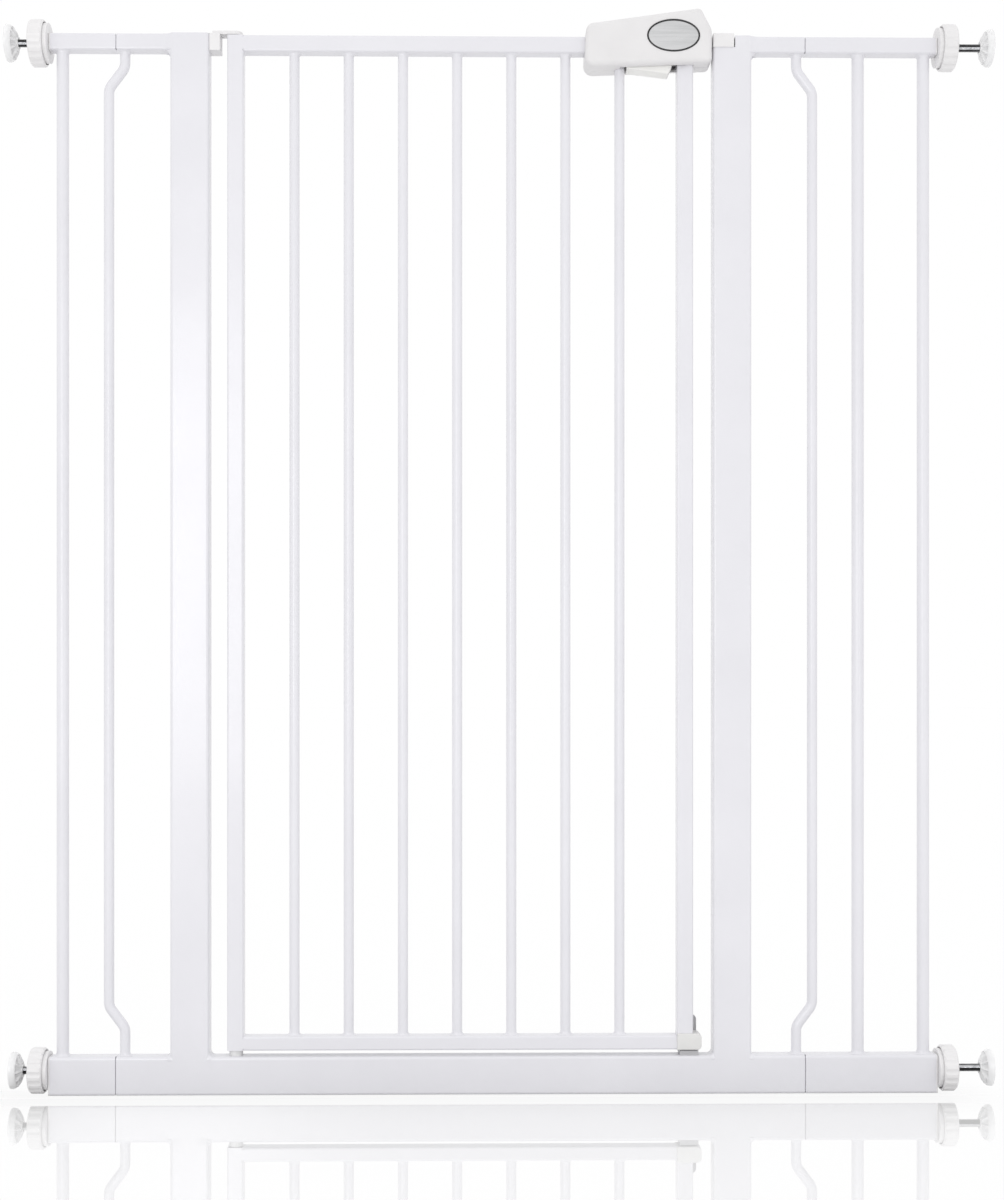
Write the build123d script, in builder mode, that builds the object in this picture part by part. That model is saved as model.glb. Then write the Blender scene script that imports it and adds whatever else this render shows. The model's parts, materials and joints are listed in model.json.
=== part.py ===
from build123d import *
import os
from math import cos, radians, sin, sqrt, tan

# Pressure-fit pet gate, in millimetres: X runs across the doorway, front is -Y, +Z is up.
# The origin lies on the floor, midway between the posts, in the middle plane of the tubes.

# Welded frame
FRAME_HEIGHT = 1040.0
CLEAR_WIDTH = 494.0
STUB_LENGTH = 52.5
POST_WIDTH = 38.0
RAIL_HEIGHT = 38.0
FRAME_DEPTH = 20.0
HEAVY_WALL = 1.5
HEAVY_CORNER = 3.0
LIGHT_TUBE = 16.0
LIGHT_WALL = 1.2
LIGHT_CORNER = 2.0
SMALLEST_CORNER = 0.3
BAR_WALL = 0.8

# Bent bars at the frame's ends
BENT_BAR_DIAMETER = 10.0
BENT_BAR_INSET = 7.0
JOG_OUT = 15.8
JOG_RISE = 21.0
JOG_TOP_LEG = 15.5
JOG_BOTTOM_LEG = 27.0
JOG_RADIUS = 14.0

# Extensions
EXTENSION_PITCH = 64.8
LEFT_EXTENSION_BARS = 1
RIGHT_EXTENSION_BARS = 2
EXTENSION_BAR_DIAMETER = 12.0
EXTENSION_BAR_INSET = 10.8
EXTENSION_SEAM = 1.0
SPIGOT_REACH = 25.0
SPIGOT_WALL = 1.4
SLIP_FIT = 0.2

# Screw fittings at the four corners
ROD_DIAMETER = 8.0
ROD_LENGTH = 90.0
ROD_CHAMFER = 0.8
LEFT_TOP_EXPOSED = 12.2
LEFT_BOTTOM_EXPOSED = 7.7
RIGHT_EXPOSED = 25.0
RUNNING_FIT = 0.08
PLUG_FLANGE = 1.5
PLUG_REACH = 15.0
WHEEL_DIAMETER = 45.0
WHEEL_RIM = 14.0
WHEEL_COLLAR = 4.0
WHEEL_COLLAR_DIAMETER = 38.0
WHEEL_EDGE = 1.5
WHEEL_GROOVE_WIDTH = 1.2
WHEEL_GROOVE_DEPTH = 3.0
WHEEL_GAP = 0.3
WHEEL_FLOOR_GAP = 1.0
WHEEL_FLUTES = 16
FLUTE_RADIUS = 6.0
FLUTE_DEPTH = 0.9
WHEEL_DISH_DIAMETER = 30.0
WHEEL_DISH_DEPTH = 2.5
WHEEL_HUB_DIAMETER = 15.0
PAD_DIAMETER = 36.0
PAD_THICKNESS = 11.5
PAD_RIM = 1.5
PAD_HUB_DIAMETER = 13.0
PAD_HUB_LENGTH = 2.0
PAD_SOCKET = 8.0
PAD_RIBS = 10
PAD_RIB_WIDTH = 1.4
PAD_RIB_HEIGHT = 0.8
PAD_RIB_MARGIN = 0.3
PUSH_FIT = 0.05

# Door
HINGE_OFFSET = 25.4
LATCH_STILE_OFFSET = 27.2
DOOR_TOP_DROP = 1.0
DOOR_FLOOR_GAP = 5.5
DOOR_RAIL_HEIGHT = 14.0
DOOR_BAR_COUNT = 7
DOOR_BAR_DIAMETER = 10.0
FIRST_BAR_OFFSET = 57.2
LAST_BAR_OFFSET = 64.1

# Hinge
HINGE_PIN_DIAMETER = 8.0
HINGE_PIN_REACH = 17.0
HINGE_BUSH_LENGTH = 22.0
BUSH_DIAMETER = 12.0
BUSH_FLANGE_DIAMETER = 13.5
SWING_CLEARANCE = 4.2
SEAT_GAP = 0.3
BRACKET_HEIGHT = 16.5
BRACKET_DEPTH = 18.0
BRACKET_EDGE = 1.0
TONGUE_REACH = 12.0
TONGUE_HEIGHT = 10.0
TONGUE_WIDTH = 8.0
STRAP_THICKNESS = 3.5
STRAP_WIDTH = 13.0
STRAP_SETBACK = 3.0
STRAP_SKIN = 1.0
STRAP_EDGE = 0.8

# Latch housing
LATCH_GAP = 1.6
HOUSING_OVERHANG = 35.5
HOUSING_DEPTH = 35.0
HOUSING_WALL = 2.5
HOUSING_LEFT_RISE = 10.3
HOUSING_RIGHT_RISE = 26.2
HOUSING_LEFT_DROP = 32.3
HOUSING_RIGHT_DROP = 27.2
HOUSING_LEAN = 2.0
SHOULDER_RUN = 11.0
SHOULDER_DROP = 21.0
HOUSING_FOOT_RADIUS = 9.0
HOUSING_HEAD_RADIUS = 8.0
HOUSING_PEAK_RADIUS = 5.0
HOUSING_SHOULDER_RADIUS = 14.0
HOUSING_HEEL_RADIUS = 5.0
HOUSING_EDGE_RADIUS = 5.0
PARTING_CHAMFER = 0.4
SADDLE_WIDTH = 3.0
SADDLE_INSET = 10.0
SCREW_INSET = 16.0
SCREW_BOSS_DIAMETER = 7.5
SCREW_DIAMETER = 3.0
SCREW_HEAD_DIAMETER = 5.6
SCREW_HEAD_HEIGHT = 2.0
SCREW_LENGTH = 22.0
BADGE_WIDTH = 52.0
BADGE_HEIGHT = 32.0
BADGE_INSET = 38.0
BADGE_RISE = -1.9
BADGE_THICKNESS = 1.4
BADGE_RECESS = 0.8
BADGE_EDGE = 0.5

# Trigger and bolt
TRIGGER_TRAVEL = 15.0
TRIGGER_DEPTH = 18.0
TRIGGER_SIDE_GAP = 0.8
TRIGGER_END_GAP = 4.6
TRIGGER_ROOT_DROP = 8.0
TRIGGER_TIP_DROP = 13.0
TRIGGER_TOP_DROP = 4.5
TRIGGER_TIP_LEAN = 4.0
TRIGGER_CORNER = 1.5
TRIGGER_EDGE = 1.0
PIVOT_BAR_GAP = 6.1
PIVOT_DROP = 7.5
PIVOT_BOSS_DIAMETER = 9.0
PIVOT_PIN_DIAMETER = 4.0
FINGER_SHANK = 2.4
FINGER_WIDTH = 6.0
FINGER_TIP_DIAMETER = 4.0
FINGER_COVER = 3.0
FINGER_PLAY = 0.3
FINGER_CLEARANCE = 0.6
BOLT_CLEARANCE = 0.3
BOLT_TAIL = 16.0
BOLT_FRONT_INSET = 2.0
NOSE_WIDTH = 8.0
NOSE_HEIGHT = 5.2
NOSE_TOP_STEP = 1.5
NOSE_SINK = 0.2
NOSE_BEVEL = 2.6
NOSE_SLACK = 0.5
SPRING_LENGTH = 22.0
SPRING_TURNS = 7
SPRING_WIRE = 1.0
SPRING_WIRE_SIDES = 8
SPRING_PEG_DIAMETER = 5.6
SPRING_PEG_LENGTH = 5.0
SPRING_STOP_LENGTH = 5.0

# Catch on the right post
CATCH_WIDTH = 20.8
CATCH_RISE = 2.2
CATCH_PROUD = 1.0
CATCH_LIP = 1.8
CATCH_FIT = 1.0
CATCH_PLUG_DEPTH = 18.0
CATCH_EDGE = 1.2
CATCH_BACK_ROOM = 1.5

# Foot of the latch stile and the stop under it
CAP_HEIGHT = 16.0
CAP_WALL = 2.0
CAP_NOSE = 8.0
CAP_FLOOR = 3.0
CAP_EDGE = 1.0
STOP_RUNNING_GAP = 1.0
STOP_THICKNESS = 2.5
STOP_HEIGHT = 37.0
STOP_LEFT = 5.2
STOP_RIGHT = 13.0
STOP_UPRIGHT_WIDTH = 15.0
STOP_FRONT_INSET = 2.0

# Places that follow from the sizes above
post_inner_x = CLEAR_WIDTH / 2
post_x = post_inner_x + POST_WIDTH / 2
post_outer_x = post_inner_x + POST_WIDTH
frame_end_x = post_outer_x + STUB_LENGTH
left_end_x = -frame_end_x - LEFT_EXTENSION_BARS * EXTENSION_PITCH
right_end_x = frame_end_x + RIGHT_EXTENSION_BARS * EXTENSION_PITCH
top_tube_z = FRAME_HEIGHT - LIGHT_TUBE / 2
top_tube_underside = FRAME_HEIGHT - LIGHT_TUBE
light_bore = LIGHT_TUBE - 2 * LIGHT_WALL
heavy_bore_depth = FRAME_DEPTH - 2 * HEAVY_WALL
heavy_bore_height = RAIL_HEIGHT - 2 * HEAVY_WALL

hinge_x = -post_inner_x + HINGE_OFFSET
latch_x = post_inner_x - LATCH_STILE_OFFSET
door_top = FRAME_HEIGHT - DOOR_TOP_DROP
door_bottom = RAIL_HEIGHT + DOOR_FLOOR_GAP
door_rail_underside = door_top - LIGHT_TUBE
door_rail_z = door_top - LIGHT_TUBE / 2
hinge_stile_face = hinge_x + LIGHT_TUBE / 2
latch_stile_face = latch_x - LIGHT_TUBE / 2
door_end_x = latch_x + LIGHT_TUBE / 2
first_bar_x = hinge_x + FIRST_BAR_OFFSET
last_bar_x = latch_x - LAST_BAR_OFFSET
door_bar_pitch = (last_bar_x - first_bar_x) / (DOOR_BAR_COUNT - 1)

housing_start_x = last_bar_x - HOUSING_OVERHANG
housing_end_x = post_inner_x - LATCH_GAP
pivot_x = last_bar_x + DOOR_BAR_DIAMETER / 2 + PIVOT_BAR_GAP
pivot_z = door_rail_underside - PIVOT_DROP
bolt_size = light_bore - 2 * BOLT_CLEARANCE
bolt_top = door_rail_z + bolt_size / 2
finger_tip_z = bolt_top - FINGER_COVER
finger_arm = finger_tip_z - pivot_z
bolt_stroke = finger_arm * radians(TRIGGER_TRAVEL)
bolt_back_x = pivot_x - BOLT_TAIL
bolt_front_x = door_end_x - BOLT_FRONT_INSET
nose_tip_x = housing_end_x + bolt_stroke - NOSE_SINK
nose_top = bolt_top - NOSE_TOP_STEP
nose_bottom = nose_top - NOSE_HEIGHT
catch_bottom = nose_bottom - NOSE_SLACK - CATCH_LIP
spring_stop_x = bolt_back_x - SPRING_LENGTH

os.makedirs("parts", exist_ok=True)


def tube_section(width, height, wall, corner):
    """Draw a hollow tube section in the sketch that is open."""
    RectangleRounded(width, height, corner)
    inner_corner = max(corner - wall, SMALLEST_CORNER)
    RectangleRounded(width - 2 * wall, height - 2 * wall, inner_corner, mode=Mode.SUBTRACT)


def bar_section(diameter):
    """Draw a hollow round bar section in the sketch that is open."""
    Circle(diameter / 2)
    Circle(diameter / 2 - BAR_WALL, mode=Mode.SUBTRACT)


def span_box(x_span, y_span, z_span, mode=Mode.ADD):
    """Add or cut a box given by its lowest and highest place on each axis."""
    spans = (x_span, y_span, z_span)
    centre = tuple((low + high) / 2 for low, high in spans)
    with Locations(centre):
        Box(*(high - low for low, high in spans), mode=mode)


# Bottom rail, with the hole for the lower hinge bush in its top wall
with BuildPart() as frame_bottom_rail:
    with BuildSketch(Plane.YZ.offset(-frame_end_x)):
        with Locations((0, RAIL_HEIGHT / 2)):
            tube_section(FRAME_DEPTH, RAIL_HEIGHT, HEAVY_WALL, HEAVY_CORNER)
    extrude(amount=2 * frame_end_x)
    with Locations((hinge_x, 0, RAIL_HEIGHT)):
        Hole(BUSH_DIAMETER / 2 + PUSH_FIT, depth=2 * HEAVY_WALL)
frame_bottom_rail.part.label = "frame_bottom_rail"
export_step(frame_bottom_rail.part, "parts/frame_bottom_rail.step")

# Left post, closed by a welded top plate and slotted for the hinge bracket's tongue
tongue_z = FRAME_HEIGHT - BRACKET_HEIGHT / 2
with BuildPart() as frame_left_post:
    with BuildSketch(Plane.XY.offset(RAIL_HEIGHT)):
        with Locations((-post_x, 0)):
            tube_section(POST_WIDTH, FRAME_DEPTH, HEAVY_WALL, HEAVY_CORNER)
    extrude(amount=FRAME_HEIGHT - RAIL_HEIGHT)
    with BuildSketch(Plane.XY.offset(FRAME_HEIGHT)):
        with Locations((-post_x, 0)):
            RectangleRounded(POST_WIDTH, FRAME_DEPTH, HEAVY_CORNER)
    extrude(amount=-HEAVY_WALL)
    with Locations((-post_inner_x, 0, tongue_z)):
        Box(
            4 * HEAVY_WALL,
            TONGUE_WIDTH + 2 * SLIP_FIT,
            TONGUE_HEIGHT + 2 * SLIP_FIT,
            mode=Mode.SUBTRACT,
        )
frame_left_post.part.label = "frame_left_post"
export_step(frame_left_post.part, "parts/frame_left_post.step")

# Right post, closed by a welded top plate and notched at its inner corner for the catch
with BuildPart() as frame_right_post:
    with BuildSketch(Plane.XY.offset(RAIL_HEIGHT)):
        with Locations((post_x, 0)):
            tube_section(POST_WIDTH, FRAME_DEPTH, HEAVY_WALL, HEAVY_CORNER)
    extrude(amount=FRAME_HEIGHT - RAIL_HEIGHT)
    with BuildSketch(Plane.XY.offset(FRAME_HEIGHT)):
        with Locations((post_x, 0)):
            RectangleRounded(POST_WIDTH, FRAME_DEPTH, HEAVY_CORNER)
    extrude(amount=-HEAVY_WALL)
    span_box(
        (post_inner_x - FRAME_DEPTH, post_inner_x + CATCH_WIDTH + CATCH_FIT),
        (-FRAME_DEPTH, FRAME_DEPTH),
        (catch_bottom, FRAME_HEIGHT + FRAME_DEPTH),
        mode=Mode.SUBTRACT,
    )
frame_right_post.part.label = "frame_right_post"
export_step(frame_right_post.part, "parts/frame_right_post.step")

# Top stubs and bent bars, the same at both ends of the frame
for side, end_name in ((-1, "left"), (1, "right")):
    with BuildPart() as top_stub:
        with BuildSketch(Plane.YZ.offset(side * post_outer_x)):
            with Locations((0, top_tube_z)):
                tube_section(LIGHT_TUBE, LIGHT_TUBE, LIGHT_WALL, LIGHT_CORNER)
        extrude(amount=side * STUB_LENGTH)
    top_stub.part.label = f"frame_{end_name}_top_stub"
    export_step(top_stub.part, f"parts/frame_{end_name}_top_stub.step")

    bar_end_x = side * (frame_end_x - BENT_BAR_INSET)
    bar_run_x = bar_end_x + side * JOG_OUT
    lower_corner_z = RAIL_HEIGHT + JOG_BOTTOM_LEG
    upper_corner_z = top_tube_underside - JOG_TOP_LEG
    with BuildPart() as bent_bar:
        with BuildLine(Plane.XZ) as bar_path:
            FilletPolyline(
                (bar_end_x, RAIL_HEIGHT),
                (bar_end_x, lower_corner_z),
                (bar_run_x, lower_corner_z + JOG_RISE),
                (bar_run_x, upper_corner_z - JOG_RISE),
                (bar_end_x, upper_corner_z),
                (bar_end_x, top_tube_underside),
                radius=JOG_RADIUS,
            )
        with BuildSketch(Plane.XY.offset(RAIL_HEIGHT)):
            with Locations((bar_end_x, 0)):
                bar_section(BENT_BAR_DIAMETER)
        sweep(path=bar_path.line)
    bent_bar.part.label = f"frame_{end_name}_bent_bar"
    export_step(bent_bar.part, f"parts/frame_{end_name}_bent_bar.step")

# Extensions: a top and a bottom tube, upright bars, and spigots into the frame's ends
extensions = (
    ("left", -1, left_end_x, ("bar",)[:LEFT_EXTENSION_BARS]),
    ("right", 1, right_end_x, ("outer_bar", "inner_bar")[:RIGHT_EXTENSION_BARS]),
)
for end_name, side, end_x, bar_names in extensions:
    extension_length = abs(end_x) - frame_end_x - EXTENSION_SEAM
    seam_x = side * (frame_end_x + EXTENSION_SEAM)

    with BuildPart() as top_tube:
        with BuildSketch(Plane.YZ.offset(seam_x)):
            with Locations((0, top_tube_z)):
                tube_section(LIGHT_TUBE, LIGHT_TUBE, LIGHT_WALL, LIGHT_CORNER)
        extrude(amount=side * extension_length)
    top_tube.part.label = f"{end_name}_extension_top_tube"
    export_step(top_tube.part, f"parts/{end_name}_extension_top_tube.step")

    with BuildPart() as bottom_tube:
        with BuildSketch(Plane.YZ.offset(seam_x)):
            with Locations((0, RAIL_HEIGHT / 2)):
                tube_section(FRAME_DEPTH, RAIL_HEIGHT, HEAVY_WALL, HEAVY_CORNER)
        extrude(amount=side * extension_length)
    bottom_tube.part.label = f"{end_name}_extension_bottom_tube"
    export_step(bottom_tube.part, f"parts/{end_name}_extension_bottom_tube.step")

    for index, bar_name in enumerate(bar_names):
        bar_x = end_x - side * (EXTENSION_BAR_INSET + index * EXTENSION_PITCH)
        with BuildPart() as extension_bar:
            with BuildSketch(Plane.XY.offset(RAIL_HEIGHT)):
                with Locations((bar_x, 0)):
                    bar_section(EXTENSION_BAR_DIAMETER)
            extrude(amount=top_tube_underside - RAIL_HEIGHT)
        extension_bar.part.label = f"{end_name}_extension_{bar_name}"
        export_step(extension_bar.part, f"parts/{end_name}_extension_{bar_name}.step")

    spigot_corner = max(LIGHT_CORNER - LIGHT_WALL, SMALLEST_CORNER)
    heavy_spigot_corner = max(HEAVY_CORNER - HEAVY_WALL, SMALLEST_CORNER)
    with BuildPart() as spigots:
        with BuildSketch(Plane.YZ.offset(seam_x - SPIGOT_REACH)):
            with Locations((0, top_tube_z)):
                spigot_size = light_bore - 2 * SLIP_FIT
                tube_section(spigot_size, spigot_size, SPIGOT_WALL, spigot_corner)
            with Locations((0, RAIL_HEIGHT / 2)):
                tube_section(
                    heavy_bore_depth - 2 * SLIP_FIT,
                    heavy_bore_height - 2 * SLIP_FIT,
                    SPIGOT_WALL,
                    heavy_spigot_corner,
                )
        extrude(amount=2 * SPIGOT_REACH)
    spigots.part.label = f"{end_name}_extension_spigots"
    export_step(spigots.part, f"parts/{end_name}_extension_spigots.step")

# Screw fittings: end plug, hand wheel, threaded rod and wall pad at each corner
bottom_fitting_z = WHEEL_DIAMETER / 2 + WHEEL_FLOOR_GAP
rod_bore_radius = ROD_DIAMETER / 2 + RUNNING_FIT
corners = (
    ("left_top", -1, left_end_x, top_tube_z, LEFT_TOP_EXPOSED),
    ("left_bottom", -1, left_end_x, bottom_fitting_z, LEFT_BOTTOM_EXPOSED),
    ("right_top", 1, right_end_x, top_tube_z, RIGHT_EXPOSED),
    ("right_bottom", 1, right_end_x, bottom_fitting_z, RIGHT_EXPOSED),
)
for corner_name, side, end_x, rod_z, exposed in corners:
    at_top = rod_z == top_tube_z
    tube_width = LIGHT_TUBE if at_top else FRAME_DEPTH
    tube_height = LIGHT_TUBE if at_top else RAIL_HEIGHT
    tube_wall = LIGHT_WALL if at_top else HEAVY_WALL
    tube_corner = LIGHT_CORNER if at_top else HEAVY_CORNER
    tube_z = top_tube_z if at_top else RAIL_HEIGHT / 2
    plug_corner = max(tube_corner - tube_wall, SMALLEST_CORNER)
    seat = Plane(origin=(end_x, 0, rod_z), x_dir=(0, 1, 0), z_dir=(side, 0, 0))
    wheel_start = PLUG_FLANGE + WHEEL_GAP
    wheel_end = wheel_start + WHEEL_COLLAR + WHEEL_RIM
    pad_start = wheel_end + exposed
    rod_end = pad_start + PAD_SOCKET

    with BuildPart() as end_plug:
        with BuildSketch(Plane.YZ.offset(end_x)):
            with Locations((0, tube_z)):
                RectangleRounded(tube_width, tube_height, tube_corner)
        extrude(amount=side * PLUG_FLANGE)
        with BuildSketch(Plane.YZ.offset(end_x)):
            with Locations((0, tube_z)):
                RectangleRounded(
                    tube_width - 2 * (tube_wall + PUSH_FIT),
                    tube_height - 2 * (tube_wall + PUSH_FIT),
                    plug_corner,
                )
        extrude(amount=-side * PLUG_REACH)
        with BuildSketch(seat.offset(-PLUG_REACH)):
            Circle(rod_bore_radius)
        extrude(amount=PLUG_REACH + PLUG_FLANGE, mode=Mode.SUBTRACT)
    end_plug.part.label = f"{corner_name}_end_plug"
    export_step(end_plug.part, f"parts/{corner_name}_end_plug.step")

    # The fluted grip, its plain collar behind a groove, and the dish round the hub on the outer face
    with BuildPart() as hand_wheel:
        with BuildSketch(seat.offset(wheel_start + WHEEL_COLLAR)):
            Circle(WHEEL_DIAMETER / 2)
        extrude(amount=WHEEL_RIM)
        chamfer(hand_wheel.edges().filter_by(GeomType.CIRCLE), WHEEL_EDGE)
        with BuildSketch(seat.offset(wheel_start + WHEEL_COLLAR)):
            with PolarLocations(WHEEL_DIAMETER / 2 + FLUTE_RADIUS - FLUTE_DEPTH, WHEEL_FLUTES):
                Circle(FLUTE_RADIUS)
        extrude(amount=WHEEL_RIM, mode=Mode.SUBTRACT)
        with BuildSketch(seat.offset(wheel_start)):
            Circle(WHEEL_COLLAR_DIAMETER / 2)
        extrude(amount=WHEEL_COLLAR)
        with BuildSketch(seat.offset(wheel_start + WHEEL_COLLAR)):
            Circle(WHEEL_COLLAR_DIAMETER / 2 + WHEEL_GROOVE_WIDTH)
            Circle(WHEEL_COLLAR_DIAMETER / 2, mode=Mode.SUBTRACT)
        extrude(amount=WHEEL_GROOVE_DEPTH, mode=Mode.SUBTRACT)
        with BuildSketch(seat.offset(wheel_end)):
            Circle(WHEEL_DISH_DIAMETER / 2)
            Circle(WHEEL_HUB_DIAMETER / 2, mode=Mode.SUBTRACT)
        extrude(amount=-WHEEL_DISH_DEPTH, mode=Mode.SUBTRACT)
        with BuildSketch(seat.offset(wheel_start)):
            Circle(rod_bore_radius)
        extrude(amount=WHEEL_COLLAR + WHEEL_RIM, mode=Mode.SUBTRACT)
    hand_wheel.part.label = f"{corner_name}_hand_wheel"
    export_step(hand_wheel.part, f"parts/{corner_name}_hand_wheel.step")

    with BuildPart() as spindle_rod:
        with BuildSketch(seat.offset(rod_end - ROD_LENGTH)):
            Circle(ROD_DIAMETER / 2)
        extrude(amount=ROD_LENGTH)
        chamfer(spindle_rod.edges().filter_by(GeomType.CIRCLE), ROD_CHAMFER)
    spindle_rod.part.label = f"{corner_name}_spindle_rod"
    export_step(spindle_rod.part, f"parts/{corner_name}_spindle_rod.step")

    # The pad: an oval dome over the rod's end, a hub, and ribs that rise from the rim to the hub
    pad_end = pad_start + PAD_THICKNESS
    dome_length = PAD_THICKNESS - PAD_RIM - PAD_RIB_HEIGHT
    pad_radius = PAD_DIAMETER / 2
    crest_length = dome_length + PAD_RIB_HEIGHT
    crest_radius = pad_radius - PAD_RIB_MARGIN
    dome_base = (pad_end - PAD_RIM, 0)
    with BuildPart() as wall_pad:
        pad_plane = Plane(origin=seat.origin, x_dir=seat.z_dir, z_dir=(0, -side, 0))
        with BuildSketch(pad_plane):
            with BuildLine():
                dome = EllipticalCenterArc(dome_base, dome_length, pad_radius, 90, arc_size=90)
                Polyline(dome @ 0, (pad_end, pad_radius), (pad_end, 0), dome @ 1)
            make_face()
        revolve(axis=Axis(seat.origin, seat.z_dir))
        for index in range(PAD_RIBS):
            turn = radians(360 * index / PAD_RIBS)
            rib_plane = Plane(origin=seat.origin, x_dir=seat.z_dir, z_dir=(0, cos(turn), sin(turn)))
            with BuildSketch(rib_plane):
                with BuildLine():
                    crest = EllipticalCenterArc(dome_base, crest_length, crest_radius, 90, arc_size=90)
                    Polyline(crest @ 0, dome_base, crest @ 1)
                make_face()
            extrude(amount=PAD_RIB_WIDTH / 2, both=True)
        with BuildSketch(seat.offset(pad_start)):
            Circle(PAD_HUB_DIAMETER / 2)
        extrude(amount=PAD_HUB_LENGTH)
        with BuildSketch(seat.offset(pad_start)):
            Circle(ROD_DIAMETER / 2 + PUSH_FIT)
        extrude(amount=PAD_SOCKET, mode=Mode.SUBTRACT)
    wall_pad.part.label = f"{corner_name}_wall_pad"
    export_step(wall_pad.part, f"parts/{corner_name}_wall_pad.step")

# Upper hinge bracket: a block on the post, a tongue into it and a strap over the stile
stile_swing = LIGHT_TUBE / sqrt(2) - LIGHT_CORNER * (sqrt(2) - 1)
bracket_face_x = hinge_x - stile_swing - SWING_CLEARANCE
with BuildPart() as top_hinge_bracket:
    span_box(
        (-post_inner_x, bracket_face_x),
        (-BRACKET_DEPTH / 2, BRACKET_DEPTH / 2),
        (FRAME_HEIGHT - BRACKET_HEIGHT, FRAME_HEIGHT),
    )
    fillet(top_hinge_bracket.edges().filter_by(Axis.Z), BRACKET_EDGE)
    with BuildSketch(Plane.XY.offset(FRAME_HEIGHT)):
        with Locations(((-post_inner_x + STRAP_SETBACK + hinge_x) / 2, 0)):
            Rectangle(hinge_x + post_inner_x - STRAP_SETBACK, STRAP_WIDTH)
        with Locations((hinge_x, 0)):
            Circle(STRAP_WIDTH / 2)
    extrude(amount=STRAP_THICKNESS)
    fillet(top_hinge_bracket.faces().sort_by(Axis.Z)[-1].edges(), STRAP_EDGE)
    span_box(
        (-post_inner_x - TONGUE_REACH, -post_inner_x),
        (-TONGUE_WIDTH / 2, TONGUE_WIDTH / 2),
        (tongue_z - TONGUE_HEIGHT / 2, tongue_z + TONGUE_HEIGHT / 2),
    )
    with BuildSketch(Plane.XY.offset(FRAME_HEIGHT)):
        with Locations((hinge_x, 0)):
            Circle(HINGE_PIN_DIAMETER / 2 + PUSH_FIT)
    extrude(amount=STRAP_THICKNESS - STRAP_SKIN, mode=Mode.SUBTRACT)
top_hinge_bracket.part.label = "top_hinge_bracket"
export_step(top_hinge_bracket.part, "parts/top_hinge_bracket.step")

# Upper hinge pin, fixed in the strap and reaching down into the stile's bush
with BuildPart() as top_hinge_pin:
    with BuildSketch(Plane.XY.offset(FRAME_HEIGHT + STRAP_THICKNESS - STRAP_SKIN)):
        with Locations((hinge_x, 0)):
            Circle(HINGE_PIN_DIAMETER / 2)
    extrude(amount=-(STRAP_THICKNESS - STRAP_SKIN + DOOR_TOP_DROP + HINGE_PIN_REACH))
top_hinge_pin.part.label = "top_hinge_pin"
export_step(top_hinge_pin.part, "parts/top_hinge_pin.step")

# Upper hinge bush, pushed into the stile's end and flush with it
stile_plug_size = light_bore - 2 * PUSH_FIT
stile_plug_corner = max(LIGHT_CORNER - LIGHT_WALL, SMALLEST_CORNER)
with BuildPart() as top_hinge_bush:
    with BuildSketch(Plane.XY.offset(door_top)):
        with Locations((hinge_x, 0)):
            RectangleRounded(stile_plug_size, stile_plug_size, stile_plug_corner)
            Circle(HINGE_PIN_DIAMETER / 2 + RUNNING_FIT, mode=Mode.SUBTRACT)
    extrude(amount=-HINGE_BUSH_LENGTH)
top_hinge_bush.part.label = "top_hinge_bush"
export_step(top_hinge_bush.part, "parts/top_hinge_bush.step")

# Lower hinge pin, on a plug that fills the stile's foot
with BuildPart() as bottom_hinge_pin:
    with BuildSketch(Plane.XY.offset(door_bottom)):
        with Locations((hinge_x, 0)):
            RectangleRounded(stile_plug_size, stile_plug_size, stile_plug_corner)
    extrude(amount=HINGE_BUSH_LENGTH)
    with BuildSketch(Plane.XY.offset(door_bottom)):
        with Locations((hinge_x, 0)):
            Circle(HINGE_PIN_DIAMETER / 2)
    extrude(amount=-(DOOR_FLOOR_GAP + HINGE_PIN_REACH))
bottom_hinge_pin.part.label = "bottom_hinge_pin"
export_step(bottom_hinge_pin.part, "parts/bottom_hinge_pin.step")

# Lower hinge bush: a barrel down to the rail's floor and a collar that the stile turns on
with BuildPart() as bottom_hinge_bush:
    with BuildSketch(Plane.XY.offset(RAIL_HEIGHT)):
        with Locations((hinge_x, 0)):
            Circle(BUSH_FLANGE_DIAMETER / 2)
    extrude(amount=DOOR_FLOOR_GAP - SEAT_GAP)
    with BuildSketch(Plane.XY.offset(RAIL_HEIGHT)):
        with Locations((hinge_x, 0)):
            Circle(BUSH_DIAMETER / 2)
    extrude(amount=-(RAIL_HEIGHT - HEAVY_WALL))
    with Locations((hinge_x, 0, door_bottom)):
        Hole(HINGE_PIN_DIAMETER / 2 + RUNNING_FIT, depth=DOOR_FLOOR_GAP + HINGE_PIN_REACH + SEAT_GAP)
bottom_hinge_bush.part.label = "bottom_hinge_bush"
export_step(bottom_hinge_bush.part, "parts/bottom_hinge_bush.step")

# Door stiles
stiles = (
    ("door_hinge_stile", hinge_x, door_bottom, door_top),
    ("door_latch_stile", latch_x, door_bottom + CAP_FLOOR, door_rail_underside),
)
for stile_name, stile_x, foot_z, head_z in stiles:
    with BuildPart() as stile:
        with BuildSketch(Plane.XY.offset(foot_z)):
            with Locations((stile_x, 0)):
                tube_section(LIGHT_TUBE, LIGHT_TUBE, LIGHT_WALL, LIGHT_CORNER)
        extrude(amount=head_z - foot_z)
    stile.part.label = stile_name
    export_step(stile.part, f"parts/{stile_name}.step")

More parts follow.
